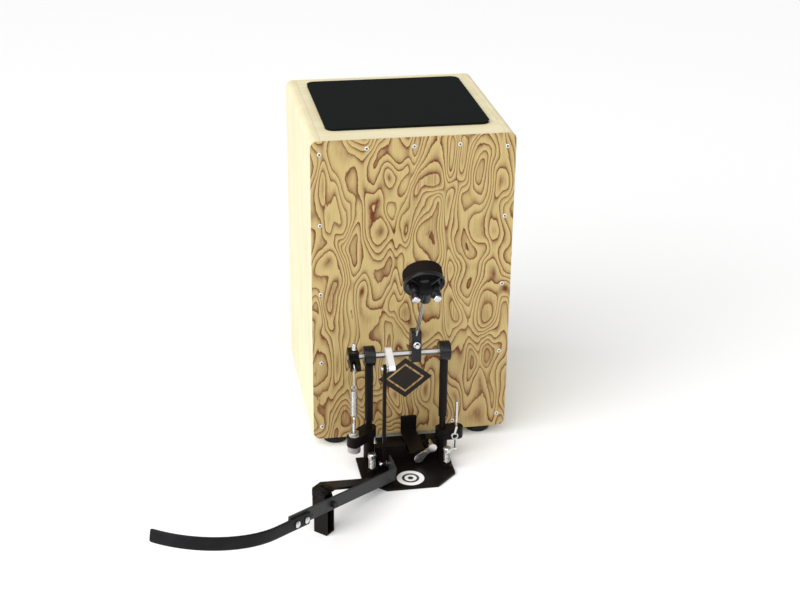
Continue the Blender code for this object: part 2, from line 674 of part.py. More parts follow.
def make_side(shop, hand, post_x, spike_x, neck_bottom, neck_top):
    """One side of the stand: casting with post socket and spike boss, post, housing, bearing."""
    casting_top = PLATE_TOP + CASTING_HEIGHT
    foot = capsule((post_x, AXLE_Y), SOCKET_RADIUS, (spike_x, SPIKE_Y), SPIKE_BOSS_RADIUS)
    casting = shop.piece(hand + "_casting", prism(foot, PLATE_TOP, casting_top), "black_steel")
    shop.join(casting, cylinder(SOCKET_RADIUS, PLATE_TOP, neck_bottom, "z", (post_x, AXLE_Y)))
    shop.cut(casting, cylinder(SPIKE_RADIUS + RUN, 0.0, 2 * casting_top, "z", (spike_x, SPIKE_Y)))
    top = AXLE_Z - HOUSING_RADIUS / 2
    neck = neck_bottom + GAP
    profile = [(0.0, neck), (NECK_RADIUS, neck), (NECK_RADIUS, neck_top),
               (POST_RADIUS, neck_top + POST_RADIUS - NECK_RADIUS), (POST_RADIUS, top), (0.0, top)]
    post = shop.piece(hand + "_post", turned(profile, "z", (post_x, AXLE_Y)), "black_steel")
    half = HOUSING_WIDTH / 2
    shop.cut(post, cylinder(HOUSING_RADIUS + GAP, post_x - HOUSING_WIDTH, post_x + HOUSING_WIDTH, "x",
                            (AXLE_Y, AXLE_Z)))
    bevel = HOUSING_WIDTH / 12
    bore = BEARING_RADIUS + GAP
    rim = [(HOUSING_RADIUS - bevel, post_x - half), (HOUSING_RADIUS, post_x - half + bevel),
           (HOUSING_RADIUS, post_x + half - bevel), (HOUSING_RADIUS - bevel, post_x + half),
           (bore, post_x + half), (bore, post_x - half)]
    housing = turned(rim, "x", (AXLE_Y, AXLE_Z), 32, ring=True)
    shop.piece(hand + "_bearing_housing", housing, "black_plastic")
    corner = AXLE_FLATS / 2 / cos(pi / 6)
    ring = tube_ring(corner + RUN, BEARING_RADIUS, post_x - half, post_x + half, "x", (AXLE_Y, AXLE_Z))
    shop.piece(hand + "_bearing", ring, "nickel")


def make_spike(shop, hand, x, with_bar):
    """A spike screwed through the casting's boss, with the spring that keeps it from turning loose."""
    boss_top = PLATE_TOP + CASTING_HEIGHT
    head = boss_top + GAP + SPIKE_SPRING_LENGTH + GAP
    tip = SPIKE_RADIUS * 1.6
    profile = [(0.0, SPIKE_TIP_LIFT), (SPIKE_RADIUS, SPIKE_TIP_LIFT + tip), (SPIKE_RADIUS, head),
               (SPIKE_HEAD_RADIUS, head), (SPIKE_HEAD_RADIUS, head + SPIKE_HEAD_HEIGHT * 0.8),
               (SPIKE_HEAD_RADIUS * 0.75, head + SPIKE_HEAD_HEIGHT), (0.0, head + SPIKE_HEAD_HEIGHT)]
    frame = Matrix.Translation((x, SPIKE_Y, 0.0))
    spike = shop.piece("spike_" + hand, turned(profile), "chrome", frame)
    if with_bar:
        middle = head + SPIKE_HEAD_HEIGHT / 2
        shop.join(spike, cylinder(SPIKE_BAR_RADIUS, 0.0, SPIKE_BAR_REACH, "x", (0.0, middle), COARSE))
    spring = coil(SPIKE_SPRING_RADIUS, boss_top + GAP, head - GAP, SPIKE_SPRING_TURNS, SPIKE_SPRING_WIRE)
    shop.piece("spike_spring_" + hand, spring, "nickel", frame)


def make_spring_bracket(shop):
    """The bracket on the left post with the tension rod, its lock nut and its knurled knob."""
    post = (POST_LEFT_X, AXLE_Y)
    eye = (SPRING_X, SPRING_PLACE_Y)
    bottom = SPRING_BRACKET_BOTTOM
    top = bottom + BRACKET_HEIGHT
    outline = capsule(post, BRACKET_RADIUS, eye, BRACKET_RADIUS)
    bracket = shop.piece("spring_bracket", prism(outline, bottom, top), "black_steel")
    hole = TENSION_ROD_RADIUS + RUN
    shop.cut(bracket, cylinder(NECK_RADIUS + GAP, bottom - WALL, top + WALL, "z", post),
             cylinder(hole, bottom - WALL, top + WALL, "z", eye))
    nut = turned([(TENSION_NUT_RADIUS, top + GAP), (TENSION_NUT_RADIUS, top + GAP + TENSION_NUT_HEIGHT),
                  (hole, top + GAP + TENSION_NUT_HEIGHT), (hole, top + GAP)], steps=FINE, ring=True)
    frame = Matrix.Translation((SPRING_X, SPRING_PLACE_Y, 0.0))
    shop.piece("tension_nut", nut, "nickel", frame)
    knob_top = bottom - GAP
    knob_bottom = knob_top - TENSION_KNOB_HEIGHT
    bevel = TENSION_KNOB_HEIGHT / 10
    knob = [(TENSION_KNOB_RADIUS - bevel, knob_bottom), (TENSION_KNOB_RADIUS, knob_bottom + bevel),
            (TENSION_KNOB_RADIUS, knob_top - bevel), (TENSION_KNOB_RADIUS - bevel, knob_top),
            (hole, knob_top), (hole, knob_bottom)]
    shop.piece("tension_knob", turned(knob, steps=FINE, ring=True), "aluminium", frame)
    eye_z = spring_bottom() - GAP - TENSION_EYE - TENSION_EYE_WIRE
    thread_top = eye_z - TENSION_EYE - TENSION_EYE_NECK
    profile = [(0.0, knob_bottom), (TENSION_ROD_RADIUS, knob_bottom), (TENSION_ROD_RADIUS, thread_top),
               (TENSION_EYE_WIRE, thread_top), (TENSION_EYE_WIRE, eye_z - TENSION_EYE),
               (0.0, eye_z - TENSION_EYE)]
    rod = shop.piece("tension_rod", turned(profile, steps=16), "nickel", frame)
    shop.join(rod, torus(TENSION_EYE, TENSION_EYE_WIRE, "x", (0.0, eye_z), 0.0))


def spring_top():
    """Height of the return spring's upper end: just under the hanger's lower ring."""
    return AXLE_Z + SPRING_TOP_Z - HANGER_LENGTH - HANGER_RING - HANGER_WIRE - GAP


def spring_bottom():
    return spring_top() - SPRING_LENGTH


def make_return_spring(shop):
    """The hanger that hooks on the spring arm's pin, and the spring between it and the tension rod."""
    frame = Matrix.Translation((SPRING_X, SPRING_PLACE_Y, AXLE_Z + SPRING_TOP_Z))
    loop = torus(HANGER_LOOP, HANGER_WIRE, "x", (0.0, 0.0), 0.0)
    hanger = shop.piece("spring_hanger", loop, "nickel", frame)
    shank = cylinder(HANGER_WIRE * 0.95, -HANGER_LENGTH + HANGER_RING, -HANGER_LOOP, "z", steps=8)
    shop.join(hanger, shank, torus(HANGER_RING, HANGER_WIRE * 0.9, "y", (0.0, -HANGER_LENGTH), 0.0))
    place = Matrix.Translation((SPRING_X, SPRING_PLACE_Y, 0.0))
    spring = coil(SPRING_RADIUS, spring_bottom(), spring_top(), SPRING_TURNS, SPRING_WIRE)
    shop.piece("return_spring", spring, "nickel", place)


def make_key(shop):
    """The drum key and the bracket that carries it on the right post."""
    post = (POST_RIGHT_X, AXLE_Y)
    stem = (KEY_X, AXLE_Y)
    bottom = KEY_BRACKET_BOTTOM
    top = bottom + KEY_BRACKET_HEIGHT
    outline = capsule(post, KEY_BRACKET_RADIUS, stem, KEY_BRACKET_RADIUS)
    bracket = shop.piece("key_bracket", prism(outline, bottom, top), "black_steel")
    shop.cut(bracket, cylinder(NECK_RADIUS + GAP, bottom - WALL, top + WALL, "z", post),
             cylinder(KEY_STEM_RADIUS + RUN, bottom - WALL, top + WALL, "z", stem))
    shoulder = KEY_BRACKET_HEIGHT + 3 * KEY_STEM_RADIUS
    front = -(KEY_BRACKET_RADIUS + 2 * KEY_STEM_RADIUS)
    handle_top = shoulder + KEY_HANDLE_HEIGHT
    path = [(0.0, 0.0, -KEY_STEM_BELOW), (0.0, 0.0, shoulder), (0.0, 0.0, handle_top)]
    frame = Matrix.Translation((KEY_X, AXLE_Y, bottom))
    key = shop.piece("drum_key", wire(path, KEY_STEM_RADIUS, COARSE), "chrome", frame)
    ring_x = -KEY_RING * 1.2
    ring_z = shoulder - 3.4 * KEY_RING
    elbow = [(0.0, 0.0, shoulder), (ring_x / 2, front, shoulder), (ring_x, front, ring_z + KEY_RING)]
    shop.join(key, wire(elbow, KEY_STEM_RADIUS * 0.85, 8),
              torus(KEY_RING, KEY_RING_WIRE, "y", (ring_x, ring_z), front))


# ================================================================= axle group
def hex_bore(low, high):
    return prism(hexagon(AXLE_FLATS + 2 * GAP), low, high, "x")


def make_axle(shop):
    left = ARM_X - ARM_WIDTH / 2 - AXLE_END_CLEAR / 2
    right = POST_RIGHT_X + HOUSING_WIDTH / 2 + AXLE_END_CLEAR
    shop.piece("axle", prism(hexagon(AXLE_FLATS), left, right, "x"), "nickel", AXLE_FRAME)


def make_spring_arm(shop):
    """The block on the axle's end with a forked finger whose pin carries the hanger."""
    left = ARM_X - ARM_WIDTH / 2
    right = ARM_X + ARM_WIDTH / 2
    half = ARM_BLOCK / 2
    pin = (SPRING_Y, SPRING_TOP_Z)
    finger = prism(capsule((0.0, 0.0), half * 0.8, pin, ARM_END_RADIUS), left, right, "x")
    arm = shop.piece("spring_arm", finger, "black_steel", AXLE_FRAME)
    shop.join(arm, box((left, -half, -half), (right, half, half)))
    slot_left = SPRING_X - ARM_SLOT / 2
    slot_back = SPRING_Y + HANGER_LOOP + 2 * HANGER_WIRE + 2 * RUN
    shop.cut(arm, box((slot_left, 2 * SPRING_Y, -ARM_BLOCK), (slot_left + ARM_SLOT, slot_back, ARM_BLOCK)))
    inset = ARM_WIDTH / 10
    shop.join(arm, cylinder(ARM_PIN_RADIUS, left + inset, right - inset, "x", pin, COARSE))
    shop.cut(arm, hex_bore(left - ARM_WIDTH, right + ARM_WIDTH))
    seat = half + GAP
    collar = ARM_BOLT_RADIUS * 1.35
    profile = [(0.0, seat), (collar, seat), (collar, seat + 0.002), (ARM_BOLT_RADIUS, seat + 0.002),
               (ARM_BOLT_RADIUS * 0.9, half + ARM_BOLT_HEIGHT), (0.0, half + ARM_BOLT_HEIGHT)]
    bolt = turned(profile, "z", (ARM_X + ARM_BOLT_OFFSET, 0.0), COARSE)
    shop.piece("spring_arm_bolt", bolt, "chrome", AXLE_FRAME)


def make_rocker(shop):
    """The bright rocker on the axle and the pin that joins the drive rod to it."""
    right = ROCKER_LEFT + ROCKER_WIDTH
    pin = (DRIVE_PIN_Y, DRIVE_PIN_Z)
    outline = capsule((0.0, 0.0), ROCKER_HUB_RADIUS, pin, ROCKER_END_RADIUS)
    rocker = shop.piece("drive_rocker", prism(outline, ROCKER_LEFT, right, "x"), "chrome", AXLE_FRAME)
    before = ROCKER_LEFT - ROCKER_WIDTH
    after = right + ROCKER_WIDTH
    shop.cut(rocker, hex_bore(before, after),
             cylinder(DRIVE_PIN_RADIUS + GAP, before, after, "x", pin, 16))
    head = DRIVE_ROD_LEFT - 0.0005
    outer = head - PIN_HEAD_THICK
    profile = [(0.0, outer), (PIN_HEAD_RADIUS, outer), (PIN_HEAD_RADIUS, head),
               (DRIVE_PIN_RADIUS, head), (DRIVE_PIN_RADIUS, right), (0.0, right)]
    shop.piece("drive_rod_pin", turned(profile, "x", pin, 16), "chrome", AXLE_FRAME)


def make_drive_rod(shop):
    """The flat link from the rocker down to the lever's tail; its lower eye has play."""
    frame = Matrix.Translation((0.0, AXLE_Y + DRIVE_PIN_Y, AXLE_Z + DRIVE_PIN_Z))
    drop = LOWER_BOLT_Z - (AXLE_Z + DRIVE_PIN_Z)
    flat = rectangle(-DRIVE_ROD_WIDTH / 2, drop, DRIVE_ROD_WIDTH / 2, 0.0)
    bar = prism(flat, DRIVE_ROD_LEFT, DRIVE_ROD_RIGHT, "x")
    rod = shop.piece("drive_rod", bar, "black_steel", frame)
    lower_hole = LOWER_BOLT_RADIUS + LOWER_EYE_CLEAR
    shop.join(rod, cylinder(DRIVE_EYE_RADIUS, DRIVE_ROD_LEFT, DRIVE_ROD_RIGHT, "x", (0.0, 0.0)),
              cylinder(lower_hole + 0.0024, DRIVE_ROD_LEFT, DRIVE_ROD_RIGHT, "x", (0.0, drop)))
    low = DRIVE_ROD_LEFT - DRIVE_ROD_THICK
    high = DRIVE_ROD_RIGHT + DRIVE_ROD_THICK
    shop.cut(rod, cylinder(DRIVE_PIN_RADIUS + RUN, low, high, "x", (0.0, 0.0), 16),
             cylinder(lower_hole, low, high, "x", (0.0, drop), 16))


def make_beater(shop):
    """The clamp block on the axle, its bolt, the rod and the head with felt and two weights."""
    left = HUB_X - HUB_WIDTH / 2
    right = HUB_X + HUB_WIDTH / 2
    corner = HUB_HALF_DEPTH * 0.45
    outline = rounded_rectangle(-HUB_HALF_DEPTH, -HUB_BELOW, HUB_HALF_DEPTH, HUB_ABOVE, corner)
    hub = shop.piece("beater_hub", prism(outline, left, right, "x"), "black_plastic", AXLE_FRAME)
    shop.cut(hub, hex_bore(left - HUB_WIDTH, right + HUB_WIDTH))
    rod_bore = cylinder(BEATER_ROD_RADIUS + GAP, -BEATER_ROD_BELOW - GAP, 0.0, "z", steps=16)
    shop.shape(hub, "DIFFERENCE", rod_bore, HEAD_FRAME)
    face = -HUB_HALF_DEPTH - GAP
    collar = face - HUB_BOLT_REACH * 0.3
    bolt = [(0.0, face - HUB_BOLT_REACH), (HUB_BOLT_RADIUS * 0.85, face - HUB_BOLT_REACH),
            (HUB_BOLT_RADIUS, collar), (HUB_BOLT_RADIUS * 1.4, collar), (HUB_BOLT_RADIUS * 1.4, face),
            (0.0, face)]
    shop.piece("beater_hub_bolt", turned(bolt, "y", (HUB_X, HUB_BOLT_Z), COARSE), "chrome", AXLE_FRAME)
    rod = cylinder(BEATER_ROD_RADIUS, -BEATER_ROD_BELOW, -GAP, "z", steps=16)
    shop.piece("beater_rod", rod, "nickel", HEAD_FRAME)
    make_beater_head(shop)


def make_beater_head(shop):
    """Head frame: Z along the rod, Y towards the striking face."""
    felt_back = FELT_FACE - FELT_THICK
    round_off = FELT_THICK / 8
    felt = [(0.0, felt_back), (FELT_RADIUS, felt_back), (FELT_RADIUS, FELT_FACE - round_off),
            (FELT_RADIUS - round_off, FELT_FACE), (0.0, FELT_FACE)]
    shop.piece("beater_felt", turned(felt, "y", steps=32), "felt", HEAD_FRAME)
    rim_front = felt_back - GAP
    rim_back = rim_front - RIM_THICK
    profile = [(0.0, rim_back - RIM_THICK), (RIM_RADIUS * 0.45, rim_back - RIM_THICK * 0.8),
               (RIM_RADIUS, rim_back + RIM_THICK * 0.3), (RIM_RADIUS, rim_front), (0.0, rim_front)]
    back = shop.piece("beater_back", turned(profile, "y", steps=32), "black_plastic", HEAD_FRAME)
    hub = box((-HEAD_HUB_HALF, -HEAD_HUB_BACK, -HEAD_HUB_BELOW), (HEAD_HUB_HALF, rim_back, HEAD_HUB_HALF))
    bosses = [cylinder(WEIGHT_RADIUS + 0.0004, -WEIGHT_BACK, rim_back, "y", (side * WEIGHT_X, WEIGHT_Z))
              for side in (-1, 1)]
    shop.join(back, hub, *bosses)
    shop.cut(back, cylinder(BEATER_ROD_RADIUS + GAP, -2 * HEAD_HUB_BELOW, 0.0, "z", steps=16))
    weight_front = -WEIGHT_BACK - GAP
    outer = weight_front - WEIGHT_THICK
    profile = [(0.0, outer), (WEIGHT_RADIUS * 0.7, outer), (WEIGHT_RADIUS, weight_front - WEIGHT_THICK * 0.6),
               (WEIGHT_RADIUS, weight_front), (0.0, weight_front)]
    for hand, side in (("left", -1), ("right", 1)):
        weight = turned(profile, "y", (side * WEIGHT_X, WEIGHT_Z), 16)
        shop.piece("beater_weight_" + hand, weight, "chrome", HEAD_FRAME)


# ================================================================= lever
def in_lever_plan(x, y):
    """Stand plan point as the lever's own along and outward coordinates, on its middle line."""
    offset = Vector((x - PIVOT.x, y - PIVOT.y, 0.0))
    return (offset.dot(TO_HEEL) / cos(LEVER_TILT), offset.dot(OUTWARD))


def make_lever(shop):
    """The bent flat bar with its tail, and the curved heel bar screwed to its outer face."""
    half = BAR_HEIGHT / 2
    bolt_y = AXLE_Y + DRIVE_PIN_Y
    bend = in_lever_plan(TAIL_X, BEND_Y)
    tail = in_lever_plan(TAIL_X, bolt_y + TAIL_PAST_BOLT)
    path = [(PIVOT_TO_BAR_END, 0.0), (0.0, 0.0), bend, tail]
    lever = shop.piece("lever_bar", prism(strip(path, BAR_THICK), -half, half), "black_steel", LEVER_FRAME)
    clear = PLATE_TOP + JAW_THICK / 2
    trim = box((TAIL_X - WALL, BEND_Y - BAR_THICK, -clear),
               (TAIL_X + WALL, bolt_y + 2 * TAIL_PAST_BOLT, clear))
    shop.shape(lever, "DIFFERENCE", trim, IDENTITY)
    shop.cut(lever, cylinder(PIVOT_BOLT_RADIUS + RUN, -WALL, WALL, "y", steps=16))
    for along_bar in HEEL_SCREWS:
        shop.cut(lever, cylinder(HEEL_SCREW_RADIUS + GAP, -WALL, WALL, "y", (along_bar, -HEEL_DROP), 16))
    bolt_frame = Matrix.Translation((0.0, bolt_y, LOWER_BOLT_Z))
    hole = cylinder(LOWER_BOLT_RADIUS + GAP, TAIL_X - WALL / 2, TAIL_X + WALL / 2, "x", steps=16)
    shop.shape(lever, "DIFFERENCE", hole, bolt_frame)
    make_lower_bolt(shop, bolt_frame)
    make_heel_bar(shop)


def make_lower_bolt(shop, frame):
    """The bolt through the tail on which the drive rod's lower eye hangs, with its spacer."""
    lean = PIN_HEAD_RADIUS * sin(LEVER_TILT) * sin(LEVER_HEADING)
    plate_left = TAIL_X - BAR_THICK / 2 - GAP - lean
    plate_right = TAIL_X + BAR_THICK / 2 + GAP + lean
    head_right = DRIVE_ROD_LEFT - lower_bolt_shift() - 2 * RUN
    spacer_left = DRIVE_ROD_RIGHT + GAP
    profile = [(0.0, head_right - PIN_HEAD_THICK), (PIN_HEAD_RADIUS, head_right - PIN_HEAD_THICK),
               (PIN_HEAD_RADIUS + LOWER_EYE_CLEAR, head_right), (LOWER_BOLT_RADIUS, head_right),
               (LOWER_BOLT_RADIUS, spacer_left), (PIN_HEAD_RADIUS + LOWER_EYE_CLEAR, spacer_left),
               (PIN_HEAD_RADIUS, plate_left), (LOWER_BOLT_RADIUS, plate_left),
               (LOWER_BOLT_RADIUS, plate_right), (PIN_HEAD_RADIUS, plate_right),
               (PIN_HEAD_RADIUS, plate_right + PIN_HEAD_THICK), (0.0, plate_right + PIN_HEAD_THICK)]
    shop.piece("lower_bolt", turned(profile, "x", steps=16), "chrome", frame)


def make_heel_bar(shop):
    """The bar under the heel: straight past the screws, then bent back in a round sweep."""
    half = BAR_HEIGHT / 2
    middle = BAR_THICK / 2 + GAP + HEEL_THICK / 2
    bend_start = PIVOT_TO_HEEL_BAR + HEEL_STRAIGHT
    centre = (bend_start, middle - HEEL_BEND_RADIUS)
    sweep = arc(centre, HEEL_BEND_RADIUS, pi / 2, pi / 2 - HEEL_BEND_ANGLE, 20)
    outline = strip([(PIVOT_TO_HEEL_BAR, middle)] + sweep, HEEL_THICK)
    bar = shop.piece("heel_bar", prism(outline, -half - HEEL_DROP, half - HEEL_DROP), "rubber", LEVER_FRAME)
    face = middle + HEEL_THICK / 2 + GAP
    back = -BAR_THICK / 2 - 0.001
    for number, along_bar in enumerate(HEEL_SCREWS, 1):
        centre = (along_bar, -HEEL_DROP)
        shop.cut(bar, cylinder(HEEL_SCREW_RADIUS + GAP, -WALL, WALL, "y", centre, 16))
        profile = [(0.0, back), (HEEL_SCREW_RADIUS, back), (HEEL_SCREW_RADIUS, face), (HEEL_SCREW_HEAD, face),
                   (HEEL_SCREW_HEAD, face + HEEL_SCREW_HEAD_THICK * 0.6),
                   (HEEL_SCREW_HEAD * 0.6, face + HEEL_SCREW_HEAD_THICK),
                   (0.0, face + HEEL_SCREW_HEAD_THICK)]
        shop.piece("heel_screw_%d" % number, turned(profile, "y", centre, 16), "chrome", LEVER_FRAME)


# ================================================================= outrigger
def make_outrigger_foot(shop):
    """The upright channel that carries the lever's pivot bolt, with ears for the hinge pin."""
    front = -BAR_THICK / 2 - FOOT_TO_BAR
    back = front - FOOT_CHANNEL_DEPTH
    half = FOOT_CHANNEL_WIDTH / 2
    pin = (front - FOOT_PIN_FROM_FRONT, FOOT_PIN_Z)
    ear = arc(pin, FOOT_EAR_RADIUS, 0.0, pi, 12)
    outline = [(back, 0.0), (front, 0.0), (front, FOOT_WEB_TOP)] + ear + [(back, FOOT_WEB_TOP)]
    foot = shop.piece("outrigger_foot", prism(outline, -half, half, "x"), "black_steel", PLAN_FRAME)
    inner = half - FOOT_SHEET
    hollow = box((-inner, back + FOOT_SHEET, FOOT_SHEET), (inner, front + FOOT_SHEET, 2 * FOOT_PIN_Z))
    gate = box((-inner, back - FOOT_SHEET, FOOT_WEB_TOP), (inner, front, 2 * FOOT_PIN_Z))
    shop.cut(foot, hollow, gate, cylinder(FOOT_PIN_RADIUS + GAP, -WALL, WALL, "x", pin, 16),
             cylinder(PIVOT_BOLT_RADIUS + GAP, 2 * back, back + 2 * FOOT_SHEET, "y", (0.0, PIVOT_Z), 16))
    shop.piece("foot_hinge_pin", cylinder(FOOT_PIN_RADIUS, -half - GAP, half + GAP, "x", pin, 16),
               "black_steel", PLAN_FRAME)
    head = BAR_THICK / 2 + GAP
    bolt = [(0.0, back - 0.002), (PIVOT_BOLT_RADIUS, back - 0.002), (PIVOT_BOLT_RADIUS, head),
            (PIVOT_HEAD_RADIUS, head), (PIVOT_HEAD_RADIUS, head + PIVOT_HEAD_THICK),
            (0.0, head + PIVOT_HEAD_THICK)]
    shop.piece("pivot_bolt", turned(bolt, "y", (0.0, PIVOT_Z), 16), "black_steel", PLAN_FRAME)
    make_outrigger_arm(shop, back, half, pin)


def make_outrigger_arm(shop, foot_back, foot_half, pin):
    """The flat arm from the base plate up to the foot, parallel to the lever, ending in a knuckle."""
    front = -BAR_THICK / 2 - OUTRIGGER_TO_BAR
    back = front - OUTRIGGER_WIDTH
    start = -BEND_TO_PIVOT * cos(LEVER_TILT)
    end = -foot_half - 2 * GAP
    top = pin[1] + KNUCKLE_RADIUS + GAP
    low = PLATE_TOP
    middle = [(start, low + OUTRIGGER_THICK / 2), (start + OUTRIGGER_FLAT, low + OUTRIGGER_THICK / 2),
              (end - OUTRIGGER_RISE_END, top - OUTRIGGER_THICK / 2), (end, top - OUTRIGGER_THICK / 2)]
    bar = prism(strip(middle, OUTRIGGER_THICK), back, front, "y")
    arm = shop.piece("outrigger_arm", bar, "black_steel", PLAN_FRAME)
    far = OUTRIGGER_PAST_PIVOT
    behind = foot_back - GAP
    shelf = box((end - OUTRIGGER_THICK, back, top - OUTRIGGER_THICK), (far, behind, top))
    flange = box((end - OUTRIGGER_THICK, back, top - OUTRIGGER_FLANGE_DROP),
                 (far, back + OUTRIGGER_FLANGE_THICK, top))
    inner = foot_half - FOOT_SHEET - GAP
    bridge = box((-inner, back + OUTRIGGER_THICK / 2, pin[1] - KNUCKLE_RADIUS), (inner, pin[0], top))
    knuckle = cylinder(KNUCKLE_RADIUS, -inner, inner, "x", pin)
    shop.join(arm, shelf, flange, bridge, knuckle)
    shop.cut(arm, cylinder(FOOT_PIN_RADIUS + GAP, -foot_half, foot_half, "x", pin, 16))


# ================================================================= assembly
def stand_on_origin(shop):
    """Move everything so that the origin is under the middle of the bounding box, on the floor."""
    bpy.context.view_layer.update()
    graph = bpy.context.evaluated_depsgraph_get()
    low = Vector((1e9, 1e9, 1e9))
    high = -low
    for obj in bpy.context.scene.objects:
        if obj.type != "MESH" or obj.hide_render:
            continue
        solid = obj.evaluated_get(graph)
        for vertex in solid.data.vertices:
            point = solid.matrix_world @ vertex.co
            low = Vector(map(min, low, point))
            high = Vector(map(max, high, point))
    shop.stand.location = (-(low.x + high.x) / 2, -(low.y + high.y) / 2, -low.z)
    bpy.context.view_layer.update()


def main():
    clear_scene()
    shop = Workshop()
    make_shell(shop)
    make_plates(shop)
    make_seat_pad(shop)
    make_feet(shop)
    make_snare(shop)
    make_base(shop)
    make_clamp(shop)
    make_side(shop, "left", POST_LEFT_X, SPIKE_LEFT_X, SPRING_BRACKET_BOTTOM - GAP, NECK_TOP_LEFT)
    make_side(shop, "right", POST_RIGHT_X, SPIKE_RIGHT_X, KEY_BRACKET_BOTTOM - GAP, NECK_TOP_RIGHT)
    make_spike(shop, "left", SPIKE_LEFT_X, False)
    make_spike(shop, "right", SPIKE_RIGHT_X, True)
    make_spring_bracket(shop)
    make_return_spring(shop)
    make_key(shop)
    make_axle(shop)
    make_spring_arm(shop)
    make_rocker(shop)
    make_drive_rod(shop)
    make_beater(shop)
    make_lever(shop)
    make_outrigger_foot(shop)
    stand_on_origin(shop)
    return shop


shop = main()
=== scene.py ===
"""Looks of the cajon and its heel pedal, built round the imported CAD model."""
import json
from math import cos, pi, radians, sin

import bmesh
import bpy
import numpy as np
from mathutils import Matrix, Vector


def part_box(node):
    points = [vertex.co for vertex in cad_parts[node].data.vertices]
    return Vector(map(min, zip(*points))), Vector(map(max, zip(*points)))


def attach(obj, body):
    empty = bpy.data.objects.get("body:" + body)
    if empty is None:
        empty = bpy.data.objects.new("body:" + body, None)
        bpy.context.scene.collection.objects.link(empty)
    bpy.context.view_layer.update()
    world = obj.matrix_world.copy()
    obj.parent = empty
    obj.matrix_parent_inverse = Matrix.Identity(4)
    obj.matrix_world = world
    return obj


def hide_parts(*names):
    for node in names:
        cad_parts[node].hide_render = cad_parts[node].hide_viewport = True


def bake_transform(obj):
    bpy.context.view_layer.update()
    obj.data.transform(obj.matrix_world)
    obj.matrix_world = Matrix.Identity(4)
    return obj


bl_info = {
    "name": "Cajon with Heel Pedal",
    "version": (1, 0, 0),
    "blender": (4, 5, 0),
    "location": "3D View > Sidebar > Cajon",
    "description": "Finishes and fine pieces of a cajon with a heel pedal",
    "category": "Object",
}

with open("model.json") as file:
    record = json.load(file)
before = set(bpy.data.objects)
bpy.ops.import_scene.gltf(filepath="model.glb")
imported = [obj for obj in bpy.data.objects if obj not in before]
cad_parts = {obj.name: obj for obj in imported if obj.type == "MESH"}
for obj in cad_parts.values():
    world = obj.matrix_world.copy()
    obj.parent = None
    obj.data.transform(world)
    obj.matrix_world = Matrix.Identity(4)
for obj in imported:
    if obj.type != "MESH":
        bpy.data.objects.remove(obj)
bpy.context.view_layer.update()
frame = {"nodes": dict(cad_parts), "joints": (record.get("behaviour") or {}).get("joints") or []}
BODY = "cajon_and_stand"

# playing plate screws, from the plate's middle and the floor
SIDE_SCREW_X = 0.137
SIDE_SCREW_HEIGHTS = (0.476, 0.368, 0.259, 0.146, 0.037)
END_SCREW_X = (-0.069, 0.0, 0.067)
END_SCREW_HEIGHTS = (0.482, 0.030)
# plain mark on the playing plate, and sticker on the base plate
MARK_LEFT_OF_MIDDLE = 0.0085
MARK_HEIGHT = 0.111
MARK_HALF_WIDTH = 0.042
MARK_HALF_HEIGHT = 0.034
STICKER_LEFT_OF_MIDDLE = 0.0205
STICKER_IN_FRONT = 0.1165
# seat pad
PAD_CORNER = 0.013
PAD_INNER_RINGS = 39
PAD_EDGE_RINGS = 9
PAD_SWELL = 0.00022
# beater head, from the axle
HEAD_LEAN = radians(32)
HEAD_IN_FRONT = 0.068
HEAD_ABOVE = 0.129
BOSS_FROM_AXIS = 0.015
WEB_HALF_LENGTH = 0.0185
RIB_START = 0.005
RIB_END = 0.0274
RIB_FLOOR = 0.0135
# lever and heel bar, in the lever's frame
LEVER_TILT = radians(11)
HEEL_START = 0.057
HEEL_STRAIGHT = 0.073
HEEL_BEND_RADIUS = 0.129
HEEL_BEND = radians(80)
HEEL_MIDDLE = 0.00405
HEEL_DROP = 0.0025
HEEL_TIP = 0.012
HEEL_TAPER = 0.008
LEVER_SPARE_HOLE = (0.0475, 0.0021)
HEEL_SPARE_HOLE = (0.1081, 0.0061)
# camera
CAMERA_PLACE = (-0.26496, -1.98982, 1.18826)
CAMERA_HEADING = radians(10.508)
CAMERA_DIP = radians(24.676)
CAMERA_ROLL = radians(-0.711)
CAMERA_LENS = 68.47


def low_high(node):
    """The lowest and highest corner of a CAD node as arrays."""
    low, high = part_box(node)
    return np.array(low), np.array(high)


def joint(name):
    """A joint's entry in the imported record."""
    for entry in frame["joints"]:
        if entry["name"] == name:
            return entry
    raise RuntimeError("no joint " + name)


# ================================================================= surfaces
def mesh_piece(name, points, faces, smooth=True):
    """A mesh object at the origin from an array of points and an array of four-cornered faces."""
    mesh = bpy.data.meshes.new(name)
    mesh.vertices.add(len(points))
    mesh.vertices.foreach_set("co", np.asarray(points, dtype=np.float32).ravel())
    mesh.loops.add(faces.size)
    mesh.loops.foreach_set("vertex_index", faces.astype(np.int32).ravel())
    mesh.polygons.add(len(faces))
    mesh.polygons.foreach_set("loop_start", np.arange(0, faces.size, 4, dtype=np.int32))
    mesh.update(calc_edges=True)
    mesh.validate()
    piece = bpy.data.objects.new(name, mesh)
    bpy.context.scene.collection.objects.link(piece)
    close_poles(mesh)
    if smooth:
        mesh.shade_smooth()
        mesh.set_sharp_from_angle(angle=radians(38))
    return piece


def close_poles(mesh):
    """Merges the points of every pole and turns all faces outwards."""
    work = bmesh.new()
    work.from_mesh(mesh)
    bmesh.ops.remove_doubles(work, verts=work.verts, dist=1e-6)
    bmesh.ops.dissolve_degenerate(work, dist=1e-7, edges=work.edges)
    bmesh.ops.recalc_face_normals(work, faces=work.faces)
    work.to_mesh(mesh)
    work.free()


